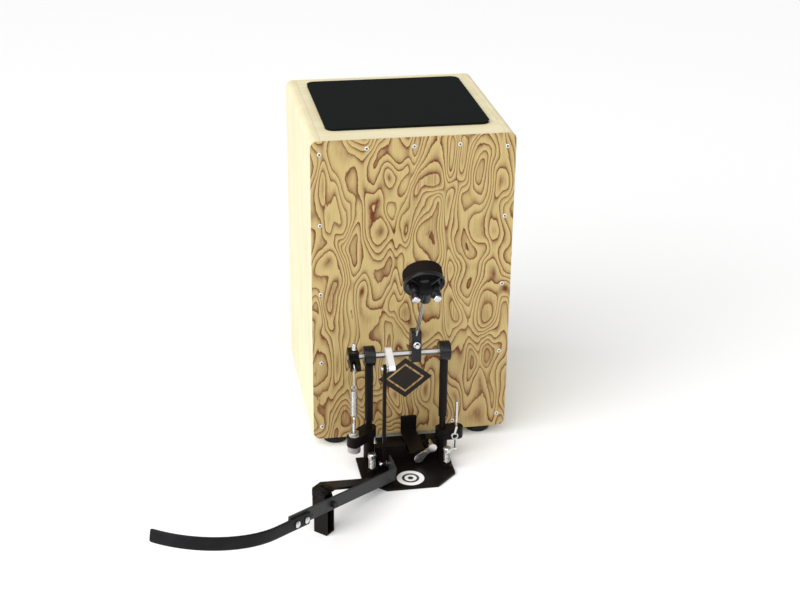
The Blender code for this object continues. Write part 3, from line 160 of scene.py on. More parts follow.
def grid_faces(rows, columns, wrap_rows=False, wrap_columns=True, first=0):
    """The faces between neighbouring points of a grid, whose rows or columns may close on themselves."""
    i = np.arange(rows if wrap_rows else rows - 1)
    j = np.arange(columns if wrap_columns else columns - 1)
    i, j = np.meshgrid(i, j, indexing="ij")
    below = i * columns
    above = ((i + 1) % rows) * columns
    ahead = (j + 1) % columns
    return first + np.stack([below + j, below + ahead, above + ahead, above + j], -1).reshape(-1, 4)


def lathe_grid(profile, steps):
    """Point (i, j) = profile radius i at angle 2 pi j / steps, at profile height i, about local Z."""
    profile = np.asarray(profile, float)
    turn = np.arange(steps) * 2 * pi / steps
    x = profile[:, 0, None] * np.cos(turn)
    y = profile[:, 0, None] * np.sin(turn)
    z = np.repeat(profile[:, 1, None], steps, 1)
    return np.stack([x, y, z], -1)


def softened(profile, radius, steps=4):
    """A profile whose inner corners are rounded: each corner P becomes the curve
    (1-t)^2 A + 2t(1-t) P + t^2 B between points A and B at the given distance before and after it."""
    points = np.asarray(profile, float)
    corner = points[1:-1]
    back = points[:-2] - corner
    ahead = points[2:] - corner
    back_length = np.linalg.norm(back, axis=1, keepdims=True)
    ahead_length = np.linalg.norm(ahead, axis=1, keepdims=True)
    start = corner + back / back_length * np.minimum(radius, back_length * 0.45)
    end = corner + ahead / ahead_length * np.minimum(radius, ahead_length * 0.45)
    t = np.linspace(0, 1, steps)[None, :, None]
    curve = (1 - t) ** 2 * start[:, None] + 2 * t * (1 - t) * corner[:, None] + t ** 2 * end[:, None]
    return np.concatenate([points[:1], curve.reshape(-1, 2), points[-1:]])


def turned(name, profile, frame_matrix, steps, radius):
    """A rounded profile turned about the Z axis of a frame."""
    return joined(name, [placed(lathe_grid(softened(profile, radius), steps), frame_matrix)])


def placed(points, matrix):
    """Points times the turn of a 4 x 4 matrix, plus its shift."""
    array = np.array(matrix)
    return points @ array[:3, :3].T + array[:3, 3]


def unit(rows):
    """Each row divided by its length."""
    return rows / np.linalg.norm(rows, axis=1, keepdims=True)


def frames_along(path, side):
    """For each point of a path: the part of the side direction square to the tangent, and the cross of the
    tangent with it."""
    tangent = unit(np.gradient(path, axis=0))
    side = np.broadcast_to(np.asarray(side, float), path.shape)
    across = unit(side - tangent * np.sum(side * tangent, axis=1, keepdims=True))
    return across, np.cross(tangent, across)


def swept(path, section, side, scale=None):
    """Point (i, j) = path i + across i * section j.x * scale i.x + over i * section j.y * scale i.y,
    with a pole at each end that closes it."""
    path = np.asarray(path, float)
    section = np.asarray(section, float)
    across, over = frames_along(path, side)
    scale = np.ones((len(path), 2)) if scale is None else np.asarray(scale, float)
    spread = section[None] * scale[:, None, :]
    grid = path[:, None] + across[:, None] * spread[..., :1] + over[:, None] * spread[..., 1:]
    first = np.repeat(path[:1, None], len(section), 1)
    last = np.repeat(path[-1:, None], len(section), 1)
    return np.concatenate([first, grid, last])


def round_section(radius, sides):
    """Point j = (r cos t, r sin t)."""
    turn = np.arange(sides) * 2 * pi / sides
    return radius * np.stack([np.cos(turn), np.sin(turn)], -1)


def superellipse(half_x, half_y, power, sides):
    """Point j = (a sgn(cos t) |cos t|^(2/p), b sgn(sin t) |sin t|^(2/p)): a rounded rectangle."""
    t = np.arange(sides) * 2 * pi / sides
    x = half_x * np.sign(np.cos(t)) * np.abs(np.cos(t)) ** (2 / power)
    y = half_y * np.sign(np.sin(t)) * np.abs(np.sin(t)) ** (2 / power)
    return np.stack([x, y], -1)


def joined(name, grids):
    """One piece from several closed grids of points."""
    points = []
    faces = []
    first = 0
    for grid in grids:
        points.append(grid.reshape(-1, 3))
        faces.append(grid_faces(*grid.shape[:2], first=first))
        first += grid.shape[0] * grid.shape[1]
    return mesh_piece(name, np.concatenate(points), np.concatenate(faces))


# ================================================================= finishes
def shade(colour, factor):
    """A colour times a factor."""
    return tuple(c * factor for c in colour)


class Field:
    """A socket that can be used in Python expressions; each operation adds a Math node."""

    def __init__(self, paint, socket):
        self.paint = paint
        self.socket = socket

    def math(self, operation, *others):
        inputs = {0: self}
        inputs.update({i + 1: other for i, other in enumerate(others)})
        return self.paint.node("ShaderNodeMath", {"operation": operation}, inputs)

    def __add__(self, other):
        return self.math("ADD", other)

    __radd__ = __add__

    def __sub__(self, other):
        return self.math("SUBTRACT", other)

    def __rsub__(self, other):
        return self.paint.node("ShaderNodeMath", {"operation": "SUBTRACT"}, {0: other, 1: self})

    def __mul__(self, other):
        return self.math("MULTIPLY", other)

    def __truediv__(self, other):
        return self.math("DIVIDE", other)

    def __pow__(self, other):
        return self.math("POWER", other)

    def absolute(self):
        return self.math("ABSOLUTE")

    def wave(self):
        return self.math("SINE")

    def fraction(self):
        return self.math("FRACT")

    def atleast(self, other):
        return self.math("MAXIMUM", other)

    def atmost(self, other):
        return self.math("MINIMUM", other)

    def step(self, start, end):
        """0 before start, 1 after end, and a smooth rise between them."""
        settings = {"interpolation_type": "SMOOTHSTEP"}
        inputs = {"Value": self, "From Min": start, "From Max": end}
        return self.paint.node("ShaderNodeMapRange", settings, inputs)


class Paint:
    """A material under construction."""

    def __init__(self, name, colour, roughness, metallic=0.0, **uniform):
        self.material = bpy.data.materials.new(name)
        self.material.use_nodes = True
        self.tree = self.material.node_tree
        self.shader = self.tree.nodes["Principled BSDF"]
        self.shader.inputs["Base Color"].default_value = (*colour, 1.0)
        self.shader.inputs["Roughness"].default_value = roughness
        self.shader.inputs["Metallic"].default_value = metallic
        for socket, value in uniform.items():
            self.shader.inputs[socket.replace("_", " ")].default_value = value
        self.place = self.node("ShaderNodeTexCoord", {}, {}, "Object")
        self.material.diffuse_color = (*colour, 1.0)

    def node(self, kind, settings, inputs, output=0):
        made = self.tree.nodes.new(kind)
        for name, value in settings.items():
            setattr(made, name, value)
        for key, value in inputs.items():
            if isinstance(value, Field):
                self.tree.links.new(value.socket, made.inputs[key])
            else:
                made.inputs[key].default_value = value
        return Field(self, made.outputs[output])

    def noise(self, grain, detail, rough=0.5, warp=0.0, location=(0.0, 0.0, 0.0)):
        """Noise whose grain has the given size in metres, the same along each axis or one size for each."""
        scale = tuple(1.0 / float(size) for size in np.broadcast_to(grain, 3))
        mapping = {"Vector": self.place, "Scale": scale, "Location": location}
        vector = self.node("ShaderNodeMapping", {}, mapping)
        inputs = {"Vector": vector, "Scale": 1.0, "Detail": detail, "Roughness": rough, "Distortion": warp}
        return self.node("ShaderNodeTexNoise", {}, inputs)

    def axes(self):
        """The three Object coordinates."""
        parts = self.node("ShaderNodeSeparateXYZ", {}, {0: self.place})
        outputs = parts.socket.node.outputs
        return [Field(self, outputs[i]) for i in range(3)]

    def mix(self, share, first, second):
        """A colour between two colours."""
        inputs = {0: share}
        for key, value in ((6, first), (7, second)):
            inputs[key] = value if isinstance(value, Field) else (*value, 1.0)
        return self.node("ShaderNodeMix", {"data_type": "RGBA"}, inputs, 2)

    def colour(self, field):
        self.tree.links.new(field.socket, self.shader.inputs["Base Color"])

    def rough(self, field):
        self.tree.links.new(field.socket, self.shader.inputs["Roughness"])

    def bump(self, field, distance, strength):
        inputs = {"Height": field, "Distance": distance, "Strength": strength}
        normal = self.node("ShaderNodeBump", {}, inputs)
        self.tree.links.new(normal.socket, self.shader.inputs["Normal"])


def birch(name, grain):
    """Pale lacquered birch with fine grain along one axis and a faint cloudy figure."""
    look = bpy.context.scene.cajon_finishes
    paint = Paint(name, look.birch, 0.42, Specular_IOR_Level=0.3)
    fine = paint.noise(tuple(0.16 if axis == grain else 0.0022 for axis in "xyz"), 5.0, 0.6, 0.3)
    cloud = paint.noise(tuple(0.20 if axis == grain else 0.045 for axis in "xyz"), 3.0, 0.5, 0.8)
    fleck = paint.noise(tuple(0.012 if axis == grain else 0.0007 for axis in "xyz"), 1.0).step(0.66, 0.80)
    pale = tuple(min(1.0, c * 1.08) for c in look.birch)
    deep = tuple(c * k for c, k in zip(look.birch, (0.86, 0.80, 0.68)))
    share = (fine * 0.55 + cloud * 0.6 - 0.2).step(0.15, 0.75)
    tone = paint.mix(share, pale, deep)
    paint.colour(paint.mix(fleck * 0.22, tone, shade(deep, 0.6)))
    paint.rough(0.36 + fine * 0.16)
    paint.bump(fine, 0.00012, 0.35)
    return paint.material


def burl_plate():
    """The playing plate: contour lines of a tall, slow noise, each with a sharp dark edge that fades to one
    side, over a straw ground with fine upright streaks, and a plain dark lozenge between the posts. Only the
    front face is printed: the edges and the inside stay plain."""
    look = bpy.context.scene.cajon_finishes
    paint = Paint("burl_plate", look.burl_ground, 0.45, Specular_IOR_Level=0.25)
    drift = paint.noise((0.085, 0.5, 0.230), 1.0, 0.5, 0.0, (3.1, 0.0, 1.7))
    height = paint.noise((0.041, 0.5, 0.098), 1.0, 0.36, 0.40, (0.4, 0.0, 2.2))
    ragged = paint.noise((0.0040, 0.5, 0.010), 2.0, 0.6)
    level = (height * 14.5 + drift * 9.0 + ragged * 0.32).fraction()
    fade = (1.0 - level) ** 3.4
    onset = level.step(0.88, 0.97)
    strength = paint.noise((0.045, 0.5, 0.06), 1.0, 0.5, 0.0, (7.0, 0.0, 5.0)).step(0.25, 0.60)
    line = fade.atleast(onset) * (0.72 + strength * 0.28)
    streak = paint.noise((0.0011, 0.5, 0.05), 3.0, 0.6)
    islands = (height.step(0.62, 0.74) + (1.0 - height.step(0.27, 0.37))) * 0.45
    x, y, z = paint.axes()
    lower = 1.0 - z.step(0.02, 0.24)
    ground = paint.mix(streak.step(0.3, 0.7), look.burl_ground, shade(look.burl_ground, 0.82))
    ground = paint.mix(lower * 0.16 + islands * streak.step(0.30, 0.6), ground, look.burl_line)
    wood = paint.mix(line.atmost(1.0), ground, look.burl_line)
    low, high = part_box("front_plate")
    centre_x = (low[0] + high[0]) / 2 - MARK_LEFT_OF_MIDDLE
    lozenge = (((x - centre_x) / MARK_HALF_WIDTH).absolute()
               + ((z - MARK_HEIGHT) / MARK_HALF_HEIGHT).absolute())
    ring = lozenge.step(0.60, 0.62) * (1.0 - lozenge.step(0.70, 0.72))
    mark = (1.0 - lozenge.step(0.985, 1.0)) * (1.0 - ring)
    facing = 1.0 - (y - low[1]).absolute().step(0.0002, 0.0004)
    front = paint.mix(mark, wood, look.mark)
    plain = paint.mix(streak.step(0.3, 0.7), look.birch, shade(look.birch, 0.82))
    paint.colour(paint.mix(facing, plain, front))
    paint.rough(0.34 + streak * 0.12)
    paint.bump(streak, 0.00008, 0.3)
    return paint.material


def pine():
    """Raw pine with fine growth rings along X."""
    paint = Paint("raw_pine", (0.60, 0.42, 0.23), 0.7)
    rings = paint.noise((0.20, 0.004, 0.004), 3.0, 0.55, 0.4)
    paint.colour(paint.mix(rings.step(0.3, 0.7), (0.66, 0.48, 0.28), (0.40, 0.25, 0.11)))
    paint.bump(rings, 0.0002, 0.5)
    return paint.material


def pad_cloth():
    """Black knitted cloth over foam: two crossing waves of thread, under a slow unevenness."""
    look = bpy.context.scene.cajon_finishes
    paint = Paint("pad_cloth", look.pad, 0.86, Specular_IOR_Level=0.06)
    x, y = paint.axes()[:2]
    pitch = 2 * pi / bpy.context.scene.cajon_sizes.thread_pitch
    weft = (x * pitch).wave()
    warp = (y * pitch).wave()
    knit = (weft * warp) * 0.5 + 0.5
    cloud = paint.noise(0.05, 3.0)
    pale = shade(look.pad, 1.5)
    paint.colour(paint.mix(knit * 0.5 + cloud * 0.4, shade(look.pad, 0.75), pale))
    paint.rough(0.80 + cloud * 0.12)
    paint.bump(knit + cloud * 0.6, 0.00012, 0.6)
    return paint.material


def moulded_rubber():
    """Matt black rubber, a little dusty in patches."""
    paint = Paint("moulded_rubber", (0.012, 0.012, 0.012), 0.5, Specular_IOR_Level=0.22)
    grain = paint.noise(0.0009, 2.0)
    dust = paint.noise(0.03, 4.0)
    paint.colour(paint.mix(dust.step(0.45, 0.8), (0.009, 0.009, 0.010), (0.018, 0.018, 0.018)))
    paint.rough(0.55 + dust * 0.2)
    paint.bump(grain, 0.00012, 0.5)
    return paint.material


def powder_coat(name, colour, roughness):
    """Satin powder coat: a fine orange-peel skin, a little brown where it is thin, and dull patches."""
    paint = Paint(name, colour, roughness, 0.0, Specular_IOR_Level=0.12)
    peel = paint.noise(0.0011, 2.0)
    patch = paint.noise(0.03, 4.0)
    warm = tuple(c * k for c, k in zip(colour, (1.9, 1.45, 1.25)))
    paint.colour(paint.mix(patch.step(0.40, 0.75) * 0.6, colour, warm))
    paint.rough(roughness - 0.08 + patch * 0.16)
    paint.bump(peel, 0.00006, 0.5)
    return paint.material


def black_plastic():
    """Glossy black plastic with a faint unevenness."""
    paint = Paint("black_plastic", (0.005, 0.005, 0.006), 0.20, Specular_IOR_Level=0.32)
    grain = paint.noise(0.0006, 1.0)
    patch = paint.noise(0.02, 3.0)
    paint.colour(paint.mix(patch, (0.003, 0.003, 0.0035), (0.008, 0.008, 0.009)))
    paint.rough(0.18 + patch * 0.10)
    paint.bump(grain, 0.00004, 0.4)
    return paint.material


def plated(name, colour, roughness, brush=(0.003, 0.003, 0.03), metallic=1.0):
    """Plated metal: polish lines along one axis and a faint cloud in its gloss."""
    paint = Paint(name, colour, roughness, metallic)
    lines = paint.noise(brush, 2.0)
    cloud = paint.noise(0.012, 3.0)
    paint.colour(paint.mix(cloud * 0.5 + lines * 0.3, colour, shade(colour, 0.72)))
    paint.rough(roughness * 0.7 + cloud * (roughness * 0.6) + lines * 0.04)
    paint.bump(lines, 0.00003, 0.3)
    return paint.material


def threaded(name, colour, pitch, thread_from, thread_to):
    """Plated metal with a screw thread: a wave along Z between two heights, whose dark bands are painted
    shade in the thread's grooves.
    """
    paint = Paint(name, colour, 0.26, 1.0)
    z = paint.axes()[2]
    inside = z.step(thread_from, thread_from + 0.0004) * (1.0 - z.step(thread_to - 0.0004, thread_to))
    wave = ((z * (2 * pi / pitch)).wave() * 0.5 + 0.5) * inside
    cloud = paint.noise(0.012, 3.0)
    # the wave darkens the colour in bands as painted shade in the thread's grooves, with a random cloud over
    # it
    paint.colour(paint.mix(wave * 0.45 + cloud * 0.3, colour, shade(colour, 0.45)))
    paint.rough(0.18 + cloud * 0.16)
    paint.bump(wave, 0.0004, 0.8)
    return paint.material


def dense_felt():
    """Dark felt: short fibres as fine noise at two sizes."""
    paint = Paint("dense_felt", (0.011, 0.008, 0.007), 0.95, Specular_IOR_Level=0.05)
    fibre = paint.noise(0.0007, 4.0, 0.7, 1.2)
    clump = paint.noise(0.005, 4.0, 0.6)
    paint.colour(paint.mix(fibre * 0.6 + clump * 0.4, (0.005, 0.004, 0.0035), (0.020, 0.014, 0.012)))
    paint.rough(0.88 + fibre * 0.1)
    paint.bump(fibre + clump * 0.7, 0.0005, 0.8)
    return paint.material


def sticker_print(centre):
    """White vinyl with a plain dark ring and dot, worked out from the distance to its centre."""
    paint = Paint("sticker_print", (0.9, 0.9, 0.9), 0.35)
    x, y = paint.axes()[:2]
    distance = (((x - centre[0]) ** 2.0) + ((y - centre[1]) ** 2.0)) ** 0.5
    ring = distance.step(0.0090, 0.0093) * (1.0 - distance.step(0.0128, 0.0131))
    dot = 1.0 - distance.step(0.0040, 0.0043)
    worn = paint.noise(0.008, 4.0)
    paper = paint.mix(worn.step(0.3, 0.9), (0.92, 0.92, 0.92), (0.80, 0.80, 0.79))
    paint.colour(paint.mix(ring.atleast(dot), paper, (0.02, 0.02, 0.02)))
    paint.rough(0.30 + worn * 0.15)
    return paint.material


def dress(material, *nodes):
    """Gives CAD nodes a finish."""
    for node in nodes:
        piece = frame["nodes"][node]
        if not piece.material_slots:
            piece.data.materials.append(material)
        for slot in piece.material_slots:
            slot.material = material


def soften(width, *nodes):
    """Rounds the sharp edges of CAD nodes slightly, so that they catch the light."""
    for node in nodes:
        piece = frame["nodes"][node]
        weld = piece.modifiers.new("weld", "WELD")
        weld.merge_threshold = 1e-5
        bevel = piece.modifiers.new("edges", "BEVEL")
        bevel.width = width
        bevel.segments = 2
        bevel.limit_method = "ANGLE"
        bevel.angle_limit = radians(40)
        piece.modifiers.new("normals", "WEIGHTED_NORMAL")


def finish_piece(piece, material, body, *replaced, slot):
    """Gives a new piece its finish and its body, and hides the CAD nodes it stands for. Its slot is not used.
    """
    piece.data.materials.clear()
    piece.data.materials.append(material)
    if body:
        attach(piece, body)
    if replaced:
        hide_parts(*replaced)


# ================================================================= settings
class CajonSizes(bpy.types.PropertyGroup):
    screw_head: bpy.props.FloatProperty(
        name="Screw Head", description="Diameter of a playing plate screw's head", default=0.0062,
        min=0.003, subtype="DISTANCE", unit="LENGTH")
    screw_height: bpy.props.FloatProperty(
        name="Screw Height", description="How far a screw's head stands proud", default=0.0011,
        min=0.0003, subtype="DISTANCE", unit="LENGTH")
    sticker: bpy.props.FloatProperty(
        name="Sticker", description="Diameter of the round sticker on the base plate", default=0.041,
        min=0.01, subtype="DISTANCE", unit="LENGTH")
    thread_pitch: bpy.props.FloatProperty(
        name="Cloth Pitch", description="Distance between threads of the pad's cloth", default=0.0012,
        min=0.0003, subtype="DISTANCE", unit="LENGTH")
    spring_turns: bpy.props.IntProperty(
        name="Spring Turns", description="Turns of the return spring", default=22, min=6)
    knurls: bpy.props.IntProperty(
        name="Knurls", description="Ridges round the tension knob", default=36, min=12)


class CajonFinishes(bpy.types.PropertyGroup):
    birch: bpy.props.FloatVectorProperty(
        name="Birch", description="Colour of the shell", default=(0.76, 0.69, 0.47), subtype="COLOR",
        min=0, max=1)
    burl_ground: bpy.props.FloatVectorProperty(
        name="Burl Ground", description="Pale colour of the playing plate", default=(0.55, 0.415, 0.175),
        subtype="COLOR", min=0, max=1)
    burl_line: bpy.props.FloatVectorProperty(
        name="Burl Line", description="Dark colour of the playing plate's lines",
        default=(0.125, 0.024, 0.0055), subtype="COLOR", min=0, max=1)
    mark: bpy.props.FloatVectorProperty(
        name="Mark", description="Colour of the plain lozenge on the playing plate",
        default=(0.018, 0.012, 0.010), subtype="COLOR", min=0, max=1)
    pad: bpy.props.FloatVectorProperty(
        name="Pad", description="Colour of the seat pad's cloth", default=(0.0075, 0.0095, 0.0090),
        subtype="COLOR", min=0, max=1)
    lever: bpy.props.FloatVectorProperty(
        name="Lever", description="Colour of the lever's satin coat", default=(0.034, 0.035, 0.037),
        subtype="COLOR", min=0, max=1)
    steel: bpy.props.FloatVectorProperty(
        name="Steel", description="Colour of the powder-coated steel", default=(0.0045, 0.0034, 0.0030),
        subtype="COLOR", min=0, max=1)


# ================================================================= cajon
class CAJON_OT_shell(bpy.types.Operator):
    """Gives the shell's panels their birch"""
    bl_idname = "cajon.shell"
    bl_label = "Shell"

    def execute(self, context):
        dress(birch("birch_sides", "z"), "left_side", "right_side", "back_panel")
        dress(birch("birch_ends", "x"), "top_panel", "bottom_panel")
        soften(0.0008, "back_panel")
        return {"FINISHED"}


class CAJON_OT_playing_plate(bpy.types.Operator):
    """Finishes the playing plate and sets its screws"""
    bl_idname = "cajon.playing_plate"
    bl_label = "Playing Plate"

    def execute(self, context):
        dress(burl_plate(), "front_plate")
        low, high = low_high("front_plate")
        middle = (low[0] + high[0]) / 2
        sides = [(side * SIDE_SCREW_X, z) for side in (-1, 1) for z in SIDE_SCREW_HEIGHTS]
        ends = [(x, z) for x in END_SCREW_X for z in END_SCREW_HEIGHTS]
        sizes = context.scene.cajon_sizes
        heads = []
        for number, (x, z) in enumerate(sides + ends):
            heads.append(screw_head(sizes.screw_head / 2, sizes.screw_height, number * 0.7)
                         + np.array([middle + x, low[1] - 0.00005, z]))
        screws = joined("plate_screws", heads)
        finish_piece(screws, screw_steel(low[1], sizes.screw_height), BODY, slot="nickel")
        return {"FINISHED"}


def screw_steel(face, height):
    """Bright steel with painted shade near the plate's face: it darkens there, which is where the floor of
    each cross lies and where each head's edge meets the plate.
    """
    paint = Paint("screw_steel", (0.86, 0.85, 0.82), 0.32, 0.6)
    depth = (face - paint.axes()[1]) / height
    sunk = 1.0 - depth.step(0.22, 0.36)
    cloud = paint.noise(0.012, 3.0)
    bright = paint.mix(cloud, (0.90, 0.89, 0.86), (0.70, 0.69, 0.66))
    # sunk is painted shade: the floor of each cross and the foot of each head's edge are painted near-black
    paint.colour(paint.mix(sunk, bright, (0.03, 0.025, 0.02)))
    paint.rough(0.26 + cloud * 0.12 + sunk * 0.4)
    return paint.material


def screw_head(radius, height, turn):
    """Rise(r, a) = dome - cross: the dome is h (1 - 0.85 (r/R)^2)^(1/2), and the cross sinks by 0.85 h within
    0.20 R of either line of a plus sign, out to 0.60 R. The outside drops to the plate and closes flat."""
    share = np.concatenate([np.linspace(0, 1, 17), [1.0, 0.0]])[:, None]
    angle = np.arange(48) * 2 * pi / 48
    x = radius * share * np.cos(angle + turn)
    z = radius * share * np.sin(angle + turn)
    bar = np.minimum(np.abs(np.sin(angle)), np.abs(np.cos(angle))) * radius * share
    sunk = (bar < radius * 0.20) & (share < 0.60)
    rise = height * np.sqrt(np.clip(1 - share ** 2 * 0.85, 0, 1)) - np.where(sunk, height * 0.85, 0.0)
    rise[-2:] = 0.0
    return np.stack([x, -rise, z], -1)


class CAJON_OT_seat_pad(bpy.types.Operator):
    """Makes the thin cloth-covered seat pad"""
    bl_idname = "cajon.seat_pad"
    bl_label = "Seat Pad"

    def execute(self, context):
        low, high = low_high("seat_pad")
        pad = pad_surface(low, high)
        finish_piece(pad, pad_cloth(), BODY, "seat_pad", slot="pad")
        return {"FINISHED"}


def pad_surface(low, high):
    """Point (i, j) = centre + 0.985 rim(j) * share(i) on the top, with a slow unevenness of a few tenths of
    a millimetre that fades out towards the rim. From the rim, ring t is drawn in by e (1 - sin t) and lowered
    by as much, which undercuts the edge at 45 degrees. The last ring runs out to the base, which is flat."""
    centre = (low + high) / 2
    half = (high - low) / 2
    top = high[2] - low[2]
    rim = rounded_rim(half[0], half[1], PAD_CORNER, 200)
    outward = unit(rim)
    share = np.linspace(0, 1, PAD_INNER_RINGS + 1)[:-1, None, None] ** 0.8
    inner = rim * share * 0.985
    drawn_in = half[2] * 0.9 * (1 - np.sin(np.linspace(pi / 2, 0, PAD_EDGE_RINGS)))[:, None, None]
    edge = rim - outward * drawn_in
    base = (rim - outward * 0.0006)[None]
    flat = np.concatenate([inner, edge, base, np.zeros_like(base)])
    swell = PAD_SWELL * (np.sin(inner[..., 0] * 41 + 1.3) * np.sin(inner[..., 1] * 33) - 1)
    nearness = np.maximum(np.abs(inner[..., 0]) / half[0], np.abs(inner[..., 1]) / half[1])
    inner_height = top + swell * np.clip(np.clip(1 - nearness, 0, 1) * 6, 0, 1)
    edge_height = np.broadcast_to(top - drawn_in[..., 0], edge.shape[:2])
    height = np.concatenate([inner_height, edge_height, np.zeros((2, len(rim)))])
    grid = np.concatenate([flat, height[..., None]], -1) + np.array([centre[0], centre[1], low[2]])
    return joined("seat_pad_cloth", [grid])


def rounded_rim(half_x, half_y, radius, count):
    """Points at equal steps of distance round a rectangle whose corners are arcs."""
    turn = np.linspace(0, 2 * pi, 4 * 24, endpoint=False) + pi / 96
    quarter = np.floor(turn / (pi / 2))
    sign_x = np.where((quarter == 0) | (quarter == 3), 1.0, -1.0)
    sign_y = np.where(quarter < 2, 1.0, -1.0)
    corner = np.stack([sign_x * (half_x - radius), sign_y * (half_y - radius)], -1)
    points = corner + radius * np.stack([np.cos(turn), np.sin(turn)], -1)
    closed = np.concatenate([points, points[:1]])
    run = np.concatenate([[0], np.cumsum(np.linalg.norm(np.diff(closed, axis=0), axis=1))])
    at = np.linspace(0, run[-1], count, endpoint=False)
    return np.stack([np.interp(at, run, closed[:, 0]), np.interp(at, run, closed[:, 1])], -1)


class CAJON_OT_feet(bpy.types.Operator):
    """Turns the four rubber feet with their rounded rims"""
    bl_idname = "cajon.feet"
    bl_label = "Feet"

    def execute(self, context):
        rubber = moulded_rubber()
        for name in ("foot_front_left", "foot_front_right", "foot_back_left", "foot_back_right"):
            low, high = low_high(name)
            radius = (high[0] - low[0]) / 2
            height = high[2] - low[2]
            profile = [(0, 0), (radius * 0.42, 0), (radius * 0.46, 0.0012), (radius * 0.80, 0.0012),
                       (radius * 0.84, 0), (radius * 0.92, 0), (radius, height * 0.22), (radius, height),
                       (0, height)]
            place = Matrix.Translation((*((low + high) / 2)[:2], low[2]))
            finish_piece(turned("rubber_" + name, profile, place, 64, 0.0012), rubber, BODY, name,
                         slot="rubber")
        return {"FINISHED"}


class CAJON_OT_snare(bpy.types.Operator):
    """Finishes the snare inside the box"""
    bl_idname = "cajon.snare"
    bl_label = "Snare"

    def execute(self, context):
        dress(pine(), "snare_bar")
        dress(plated("snare_steel", (0.55, 0.54, 0.50), 0.3), "snare_wires")
        return {"FINISHED"}


# ================================================================= pedal
class CAJON_OT_stand(bpy.types.Operator):
    """Finishes the base, clamp, posts, brackets and outrigger"""
    bl_idname = "cajon.stand"
    bl_label = "Stand"

    def execute(self, context):
        look = context.scene.cajon_finishes
        steel = powder_coat("powder_coat", look.steel, 0.40)
        plates = ("base_plate", "clamp_jaw", "cross_beam", "clamp_bar", "outrigger_arm", "outrigger_foot")
        posts = ("left_casting", "right_casting", "left_post", "right_post", "spring_bracket", "key_bracket")
        dress(steel, *plates, *posts)
        dress(black_plastic(), "left_bearing_housing", "right_bearing_housing")
        dress(plated("bearing_steel", (0.60, 0.59, 0.56), 0.25), "left_bearing", "right_bearing")
        soften(0.0005, *plates, *posts, "left_bearing_housing", "right_bearing_housing")
        return {"FINISHED"}


class CAJON_OT_bright_parts(bpy.types.Operator):
    """Finishes the plated bolts, the wing bolt, the drum key and the spikes"""
    bl_idname = "cajon.bright_parts"
    bl_label = "Bright Parts"

    def execute(self, context):
        chrome = plated("chrome", (0.74, 0.74, 0.75), 0.16)
        bolts = ("clamp_wing_bolt", "drum_key", "spring_arm_bolt", "drive_rod_pin", "beater_hub_bolt",
                 "beater_weight_left", "beater_weight_right", "lower_bolt", "heel_screw_1", "heel_screw_2")
        dress(chrome, *bolts)
        dark = ("pivot_bolt", "foot_hinge_pin")
        dress(powder_coat("dark_bolt", (0.012, 0.011, 0.011), 0.32), *dark)
        soften(0.0004, *bolts, *dark)
        dress(threaded("spike_steel", (0.68, 0.68, 0.67), 0.0012, 0.006, 0.029), "spike_left", "spike_right")
        soften(0.0004, "spike_left", "spike_right")
        return {"FINISHED"}


class CAJON_OT_axle_group(bpy.types.Operator):
    """Finishes the axle, its spring arm, the rocker and the drive rod"""
    bl_idname = "cajon.axle_group"
    bl_label = "Axle Group"

    def execute(self, context):
        look = context.scene.cajon_finishes
        dress(plated("axle_steel", (0.42, 0.42, 0.42), 0.30, (0.03, 0.002, 0.002)), "axle")
        dress(plated("rocker_chrome", (0.88, 0.88, 0.87), 0.42, metallic=0.35), "drive_rocker")
        dress(powder_coat("arm_coat", look.steel, 0.34), "spring_arm", "drive_rod")
        soften(0.0004, "axle", "drive_rocker", "spring_arm", "drive_rod")
        return {"FINISHED"}


def spring_path(radius, low, high, turns, steps, hooks):
    """Point t = (R cos 2 pi n t, R sin 2 pi n t, height), where the height rises evenly. With hooks, each end
    runs in to the axis and round a ring in an upright plane."""
    t = np.linspace(0, 1, turns * steps + 1)
    angle = 2 * pi * turns * t
    height = low + (high - low) * t
    helix = np.stack([radius * np.cos(angle), radius * np.sin(angle), height], -1)
    if not hooks:
        return helix
    s = np.linspace(0, 1, 10)[1:]
    spiral = radius * (1 - s) + 0.0001
    turn = s * pi
    lead = np.stack([spiral * np.cos(turn), spiral * np.sin(turn), high + 0.0004 * s], -1)
    loop_radius = 0.0017
    a = np.linspace(0, 1.7 * pi, 22)[1:]
    top = np.stack([np.zeros_like(a), loop_radius * np.sin(a),
                    high + 0.0004 + loop_radius * (1 - np.cos(a))], -1)
    foot_lead = np.stack([spiral * np.cos(-turn), spiral * np.sin(-turn), low - 0.0004 * s], -1)
    foot = np.stack([loop_radius * np.sin(a), np.zeros_like(a),
                     low - 0.0004 - loop_radius * (1 - np.cos(a))], -1)
    return np.concatenate([foot[::-1], foot_lead[::-1], helix, lead, top])


def spring_piece(name, centre, path, wire):
    """A round wire along a coil: the side direction is square to the tangent and to the coil's radius."""
    tangent = unit(np.gradient(path, axis=0))
    side = np.cross(tangent, np.array([0.0, 0.0, 1.0]))
    length = np.linalg.norm(side, axis=1, keepdims=True)
    side = np.where(length > 0.05, side / np.maximum(length, 1e-9), np.array([0.0, 1.0, 0.0]))
    grid = swept(path, round_section(wire, 10), side)
    grid += np.array([centre[0], centre[1], 0.0])
    return joined(name, [grid])


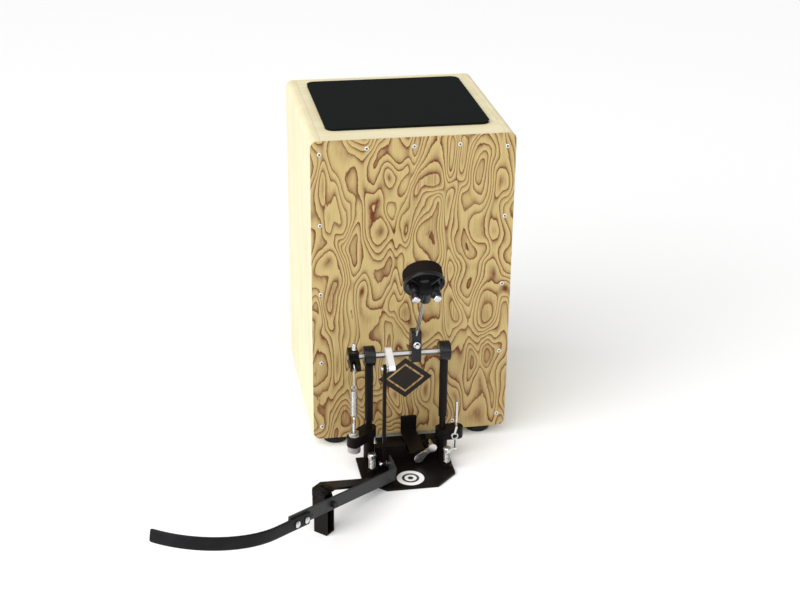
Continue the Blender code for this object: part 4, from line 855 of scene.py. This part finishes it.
class CAJON_OT_springs(bpy.types.Operator):
    """Winds the return spring and the two spike springs"""
    bl_idname = "cajon.springs"
    bl_label = "Springs"

    def execute(self, context):
        steel = plated("spring_steel", (0.66, 0.65, 0.62), 0.24)
        low, high = low_high("return_spring")
        centre = (low + high) / 2
        wire = 0.0007
        radius = (high[0] - low[0]) / 2 - wire
        turns = context.scene.cajon_sizes.spring_turns
        path = spring_path(radius, low[2] + wire, high[2] - wire - 0.0004, turns, 24, True)
        spring = spring_piece("return_coil", centre, path, wire)
        finish_piece(spring, steel, None, "return_spring", slot="nickel")
        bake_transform(spring)
        for hand in ("left", "right"):
            low, high = low_high("spike_spring_" + hand)
            wire = 0.0008
            radius = (high[0] - low[0]) / 2 - wire
            path = spring_path(radius, low[2] + wire, high[2] - wire, 7, 24, False)
            coil = spring_piece("spike_coil_" + hand, (low + high) / 2, path, wire)
            finish_piece(coil, steel, BODY, "spike_spring_" + hand, slot="nickel")
        dress(plated("hanger_steel", (0.62, 0.61, 0.58), 0.28), "spring_hanger")
        return {"FINISHED"}


class CAJON_OT_tension(bpy.types.Operator):
    """Cuts the knurled knob and finishes the tension rod and its nut"""
    bl_idname = "cajon.tension"
    bl_label = "Spring Tension"

    def execute(self, context):
        low, high = low_high("tension_knob")
        knob = knurled("knurled_knob", low, high, context.scene.cajon_sizes.knurls, 0.00045)
        finish_piece(knob, plated("knob_aluminium", (0.56, 0.56, 0.55), 0.34), "knob", "tension_knob",
                     slot="aluminium")
        low, high = low_high("tension_nut")
        nut = knurled("knurled_nut", low, high, 28, 0.0003)
        finish_piece(nut, plated("nut_nickel", (0.66, 0.65, 0.62), 0.26), "lock_nut", "tension_nut",
                     slot="nickel")
        low, high = low_high("tension_rod")
        dress(threaded("rod_thread", (0.64, 0.63, 0.60), 0.0010, low[2], high[2] - 0.012), "tension_rod")
        return {"FINISHED"}


def knurled(name, low, high, ridges, depth):
    """Radius(a, z) = R - d (1 - |cos(n a / 2)|) on the side, fading to a plain rim at the top and bottom
    chamfers, and a bore right through."""
    centre = (low + high) / 2
    radius = (high[0] - low[0]) / 2
    height = high[2] - low[2]
    bore = 0.0034
    rows = np.array([(bore, 0.0, 0), (radius * 0.82, 0.0, 0), (radius * 0.90, 0.04, 0), (radius, 0.12, 0),
                     (radius, 0.16, 1), (radius, 0.5, 1), (radius, 0.84, 1), (radius, 0.88, 0),
                     (radius * 0.90, 0.96, 0), (radius * 0.82, 1.0, 0), (bore, 1.0, 0)])
    angle = np.arange(ridges * 8) * 2 * pi / (ridges * 8)
    groove = 1 - np.abs(np.cos(ridges * angle / 2))
    reach = rows[:, :1] - depth * rows[:, 2:] * groove
    grid = np.stack([reach * np.cos(angle), reach * np.sin(angle),
                     np.repeat(rows[:, 1:2] * height, len(angle), 1)], -1)
    grid += np.array([centre[0], centre[1], low[2]])
    return mesh_piece(name, grid.reshape(-1, 3), grid_faces(len(rows), len(angle), wrap_rows=True))


def head_frame():
    """The beater head's frame: Z along its rod, Y towards the striking face. Its origin is where the axes of
    the rod and of the felt disc cross, and both lean by the same angle."""
    low, high = low_high("beater_felt")
    pivot = Vector(joint("beater_swing")["pos_m"])
    origin = Vector(((low[0] + high[0]) / 2, pivot.y - HEAD_IN_FRONT, pivot.z + HEAD_ABOVE))
    return Matrix.Translation(origin) @ Matrix.Rotation(HEAD_LEAN, 4, "X")


class CAJON_OT_beater(bpy.types.Operator):
    """Finishes the beater and moulds the dished back of its head"""
    bl_idname = "cajon.beater"
    bl_label = "Beater"

    def execute(self, context):
        plastic = black_plastic()
        dress(dense_felt(), "beater_felt")
        dress(plastic, "beater_hub")
        dress(plated("beater_rod_steel", (0.50, 0.50, 0.50), 0.22), "beater_rod")
        soften(0.0006, "beater_felt")
        soften(0.0015, "beater_hub")
        finish_piece(beater_back(), plastic, "beater", "beater_back", slot="black_plastic")
        return {"FINISHED"}


def beater_back():
    """A dish turned about the head's axis, two bosses turned about lines beside it, a lobed web and a rod
    socket whose sections are superellipses, and two ribs that fall from the socket to the rim in a V."""
    head = head_frame()
    forward = Matrix.Rotation(-pi / 2, 4, "X")
    rim = [(0, 0.0157), (0.0300, 0.0157), (0.0300, 0.0108), (0.0290, 0.0098), (0.0276, 0.0098),
           (0.0266, 0.0116), (0.0225, 0.0130), (0.0120, 0.0120), (0.0075, 0.0085), (0, 0.0080)]
    grids = [placed(lathe_grid(softened(rim, 0.0006), 64), head @ forward)]
    boss = [(0, 0.0110), (0.0066, 0.0110), (0.0066, -0.0005), (0.0058, -0.0012), (0.0058, -0.0022),
            (0.0066, -0.0029), (0.0066, -0.0104), (0.0060, -0.0110), (0, -0.0110)]
    for side in (-1, 1):
        shift = Matrix.Translation((side * BOSS_FROM_AXIS, 0.0, -0.001))
        grids.append(placed(lathe_grid(softened(boss, 0.0004), 32), head @ shift @ forward))
    along = np.linspace(-WEB_HALF_LENGTH, WEB_HALF_LENGTH, 33)
    lobes = np.stack([0.93 + 0.07 * np.cos(along * 2 * pi / 0.0150)] * 2, -1)
    web = np.stack([along, np.full(33, 0.0004), np.full(33, -0.001)], -1)
    grids.append(placed(swept(web, superellipse(0.0106, 0.0060, 5, 32), (0, 1, 0), lobes), head))
    height = np.concatenate([-0.0150 + 0.0025 * (1 - np.cos(np.linspace(0, pi / 2, 6))),
                             np.linspace(-0.0120, 0.0082, 8)])
    swell = np.concatenate([np.sin(np.linspace(0.8, pi / 2, 6)), np.ones(8)])
    socket = np.stack([np.zeros(14), np.full(14, -0.0005), height], -1)
    grids.append(placed(swept(socket, superellipse(0.0088, 0.0115, 2.6, 32), (1, 0, 0),
                              np.stack([swell, swell], -1)), head))
    for side in (-1, 1):
        lean = radians(50) * side
        reach = np.linspace(RIB_START, RIB_END, 12)
        crest = 0.0035 + (reach - RIB_START) / (RIB_END - RIB_START) * 0.0060
        rib = np.stack([reach * sin(lean), (crest + RIB_FLOOR) / 2, reach * cos(lean)], -1)
        tall = np.stack([np.ones(12), (RIB_FLOOR - crest) / 2], -1)
        section = superellipse(0.0007, 1.0, 4, 16)
        grids.append(placed(swept(rib, section, (cos(lean), 0, -sin(lean)), tall), head))
    return joined("beater_dish", grids)


class CAJON_OT_lever(bpy.types.Operator):
    """Finishes the lever and moulds the rounded heel bar"""
    bl_idname = "cajon.lever"
    bl_label = "Lever"

    def execute(self, context):
        dress(lever_coat(), "lever_bar")
        soften(0.0005, "lever_bar")
        finish_piece(heel_bar(), sleeve_rubber(), "lever", "heel_bar", slot="rubber")
        return {"FINISHED"}


def sleeve_rubber():
    """Smooth black rubber with one spare hole beyond the screws, painted as a near-black spot of shade."""
    paint = Paint("sleeve_rubber", (0.006, 0.006, 0.007), 0.45, Specular_IOR_Level=0.16)
    dust = paint.noise(0.03, 4.0)
    skin = paint.mix(dust.step(0.4, 0.8), (0.005, 0.005, 0.006), (0.011, 0.011, 0.012))
    # the spare hole is a near-black spot of painted shade, not a cut hole
    paint.colour(paint.mix(painted_hole_shade(paint, *HEEL_SPARE_HOLE), skin, (0.0008, 0.0008, 0.0008)))
    paint.rough(0.38 + dust * 0.2)
    paint.bump(paint.noise(0.0008, 2.0), 0.00005, 0.4)
    return paint.material


def lever_frame():
    """The lever's frame at rest: X along the bar towards the heel, tilted up by 11 degrees from level, and Y
    along the pivot's axis."""
    pivot = Vector(joint("lever_press")["pos_m"])
    outward = Vector(joint("lever_press")["axis"]).normalized()
    heel = Vector((0.0, 0.0, 1.0)).cross(outward)
    heel = -heel if heel.y > 0 else heel
    along = heel * cos(LEVER_TILT) + Vector((0.0, 0.0, 1.0)) * sin(LEVER_TILT)
    over = Vector((0.0, 0.0, 1.0)) * cos(LEVER_TILT) - heel * sin(LEVER_TILT)
    turn = Matrix((along, outward, over)).transposed()
    return Matrix.Translation(pivot) @ turn.to_4x4()


def heel_bar():
    """A section with round edges along a straight run and an arc of 80 degrees. Over the taper, where s runs
    from 0 to 1, its height is h (0.78 + 0.22 (1 - s^3)^(1/2)) and its thickness is
    b (0.25 + 0.75 (1 - s^6)^(1/2))."""
    length = HEEL_STRAIGHT + HEEL_BEND_RADIUS * HEEL_BEND
    run = np.concatenate([np.linspace(0, HEEL_STRAIGHT, 16)[:-1],
                          np.linspace(HEEL_STRAIGHT, length - HEEL_TIP, 64)[:-1],
                          length - HEEL_TIP * (1 - np.sin(np.linspace(0, pi / 2, 14)))])
    angle = np.clip((run - HEEL_STRAIGHT) / HEEL_BEND_RADIUS, 0, None)
    x = HEEL_START + np.minimum(run, HEEL_STRAIGHT) + HEEL_BEND_RADIUS * np.sin(angle)
    y = HEEL_MIDDLE - HEEL_BEND_RADIUS * (1 - np.cos(angle))
    path = np.stack([x, y, np.full_like(x, -HEEL_DROP)], -1)
    tip = np.clip((run - run[-1] + HEEL_TAPER) / HEEL_TAPER, 0, 1)
    tall = 0.78 + 0.22 * np.sqrt(np.clip(1 - tip ** 3, 0, 1))
    thick = 0.25 + 0.75 * np.sqrt(np.clip(1 - tip ** 6, 0, 1))
    section = superellipse(0.0020, 0.0095, 3.2, 48)
    grid = swept(path, section, (0, 1, 0), np.stack([thick, tall], -1))
    return joined("heel_sleeve", [placed(grid, lever_frame())])


def painted_hole_shade(paint, along, outward):
    """Mask of a spare hole's painted shade: 1 within a small radius of a point on the lever's middle line,
    and 0 beyond.
    """
    x, y, z = paint.axes()
    hole = lever_frame() @ Vector((along, outward, -HEEL_DROP))
    distance = (((x - hole.x) ** 2.0) + ((y - hole.y) ** 2.0) + ((z - hole.z) ** 2.0)) ** 0.5
    return 1.0 - distance.step(0.0023, 0.0026)


def lever_coat():
    """The lever's coat, with one spare hole beyond the screws painted as a near-black spot of shade, found
    from the distance to its axis.
    """
    look = bpy.context.scene.cajon_finishes
    paint = Paint("lever_coat", look.lever, 0.40, Specular_IOR_Level=0.18)
    hole_shade = painted_hole_shade(paint, *LEVER_SPARE_HOLE)
    patch = paint.noise(0.03, 4.0)
    coat = paint.mix(patch.step(0.35, 0.75), shade(look.lever, 0.85), look.lever)
    # the spare hole is a near-black spot of painted shade, not a cut hole
    paint.colour(paint.mix(hole_shade, coat, (0.002, 0.002, 0.002)))
    paint.rough(0.34 + patch * 0.14)
    paint.bump(paint.noise(0.0011, 2.0), 0.00005, 0.4)
    return paint.material


class CAJON_OT_sticker(bpy.types.Operator):
    """Lays the round sticker on the base plate"""
    bl_idname = "cajon.sticker"
    bl_label = "Sticker"

    def execute(self, context):
        top = low_high("base_plate")[1][2]
        box_low, box_high = low_high("front_plate")
        middle = (box_low[0] + box_high[0]) / 2
        centre = (middle - STICKER_LEFT_OF_MIDDLE, box_low[1] - STICKER_IN_FRONT)
        radius = context.scene.cajon_sizes.sticker / 2
        profile = [(0, 0.0001), (radius, 0.0001), (radius, 0.0003), (0, 0.00035)]
        piece = turned("base_sticker", profile, Matrix.Translation((*centre, top)), 72, 0.0001)
        finish_piece(piece, sticker_print(centre), BODY, slot="black_steel")
        return {"FINISHED"}


# ================================================================= stage
class CAJON_OT_stage(bpy.types.Operator):
    """Lays the floor and sets the lights and the camera"""
    bl_idname = "cajon.stage"
    bl_label = "Stage"

    def execute(self, context):
        scene = context.scene
        scene.view_settings.view_transform = "Standard"
        u = np.linspace(-12, 12, 5)
        x, y = np.meshgrid(u, u, indexing="ij")
        points = np.stack([x, y, np.full_like(x, -0.0002)], -1).reshape(-1, 3)
        floor = mesh_piece("floor", points, grid_faces(5, 5, wrap_columns=False), smooth=False)
        paint = Paint("floor_paper", (0.93, 0.93, 0.93), 0.9)
        cloud = paint.noise(1.5, 2.0)
        paint.colour(paint.mix(cloud, (0.93, 0.93, 0.93), (0.95, 0.95, 0.95)))
        floor.data.materials.append(paint.material)
        world = bpy.data.worlds.new("studio")
        world.use_nodes = True
        world.node_tree.nodes["Background"].inputs[0].default_value = (1.0, 1.0, 1.0, 1.0)
        world.node_tree.nodes["Background"].inputs[1].default_value = 0.45
        scene.world = world
        self.lamp("SUN", "daylight", (-1.9, -1.9, 3.4), 2.35, angle=radians(75))
        self.lamp("AREA", "key", (-2.2, -1.0, 1.5), 26, size=1.6)
        self.lamp("AREA", "front", (1.2, -2.6, 1.6), 14, size=1.6)
        self.camera(scene)
        return {"FINISHED"}

    def lamp(self, kind, name, place, power, **settings):
        """A lamp that faces the cajon."""
        lamp = bpy.data.lights.new(name, kind)
        lamp.energy = power
        for key, value in settings.items():
            setattr(lamp, key, value)
        holder = bpy.data.objects.new(name, lamp)
        holder.location = place
        holder.rotation_euler = (Vector((0.1, 0.1, 0.25)) - Vector(place)).to_track_quat("-Z", "Y").to_euler()
        bpy.context.scene.collection.objects.link(holder)

    def camera(self, scene):
        """The camera looks along its heading and down by its dip, turned a little about its own axis."""
        heading = CAMERA_HEADING
        forward = Vector((sin(heading) * cos(CAMERA_DIP), cos(heading) * cos(CAMERA_DIP), -sin(CAMERA_DIP)))
        level = Vector((cos(heading), -sin(heading), 0.0))
        down = forward.cross(level)
        right = level * cos(CAMERA_ROLL) + down * sin(CAMERA_ROLL)
        down = down * cos(CAMERA_ROLL) - level * sin(CAMERA_ROLL)
        lens = bpy.data.cameras.new("camera")
        lens.sensor_width = 36.0
        lens.lens = CAMERA_LENS
        lens.clip_end = 100.0
        view = bpy.data.objects.new("camera", lens)
        turn = Matrix((right, -down, -forward)).transposed()
        view.matrix_world = Matrix.Translation(CAMERA_PLACE) @ turn.to_4x4()
        scene.collection.objects.link(view)
        scene.camera = view


class CAJON_PT_panel(bpy.types.Panel):
    """Lists the sizes, the colours and one button per piece"""
    bl_idname = "CAJON_PT_panel"
    bl_label = "Cajon"
    bl_space_type = "VIEW_3D"
    bl_region_type = "UI"
    bl_category = "Cajon"

    def draw(self, context):
        layout = self.layout
        for group in (context.scene.cajon_sizes, context.scene.cajon_finishes):
            for name in group.__annotations__:
                layout.prop(group, name)
        for operator in OPERATORS:
            layout.operator(operator.bl_idname)


OPERATORS = (CAJON_OT_stage, CAJON_OT_shell, CAJON_OT_playing_plate, CAJON_OT_seat_pad, CAJON_OT_feet,
             CAJON_OT_snare, CAJON_OT_stand, CAJON_OT_bright_parts, CAJON_OT_axle_group, CAJON_OT_springs,
             CAJON_OT_tension, CAJON_OT_beater, CAJON_OT_lever, CAJON_OT_sticker)
CLASSES = (CajonSizes, CajonFinishes, *OPERATORS, CAJON_PT_panel)


def register():
    for cls in CLASSES:
        bpy.utils.register_class(cls)
    bpy.types.Scene.cajon_sizes = bpy.props.PointerProperty(type=CajonSizes)
    bpy.types.Scene.cajon_finishes = bpy.props.PointerProperty(type=CajonFinishes)


def unregister():
    del bpy.types.Scene.cajon_finishes
    del bpy.types.Scene.cajon_sizes
    for cls in reversed(CLASSES):
        bpy.utils.unregister_class(cls)


def main():
    register()
    for operator in OPERATORS:
        group, name = operator.bl_idname.split(".")
        getattr(getattr(bpy.ops, group), name)()


if __name__ == "__main__":
    main()
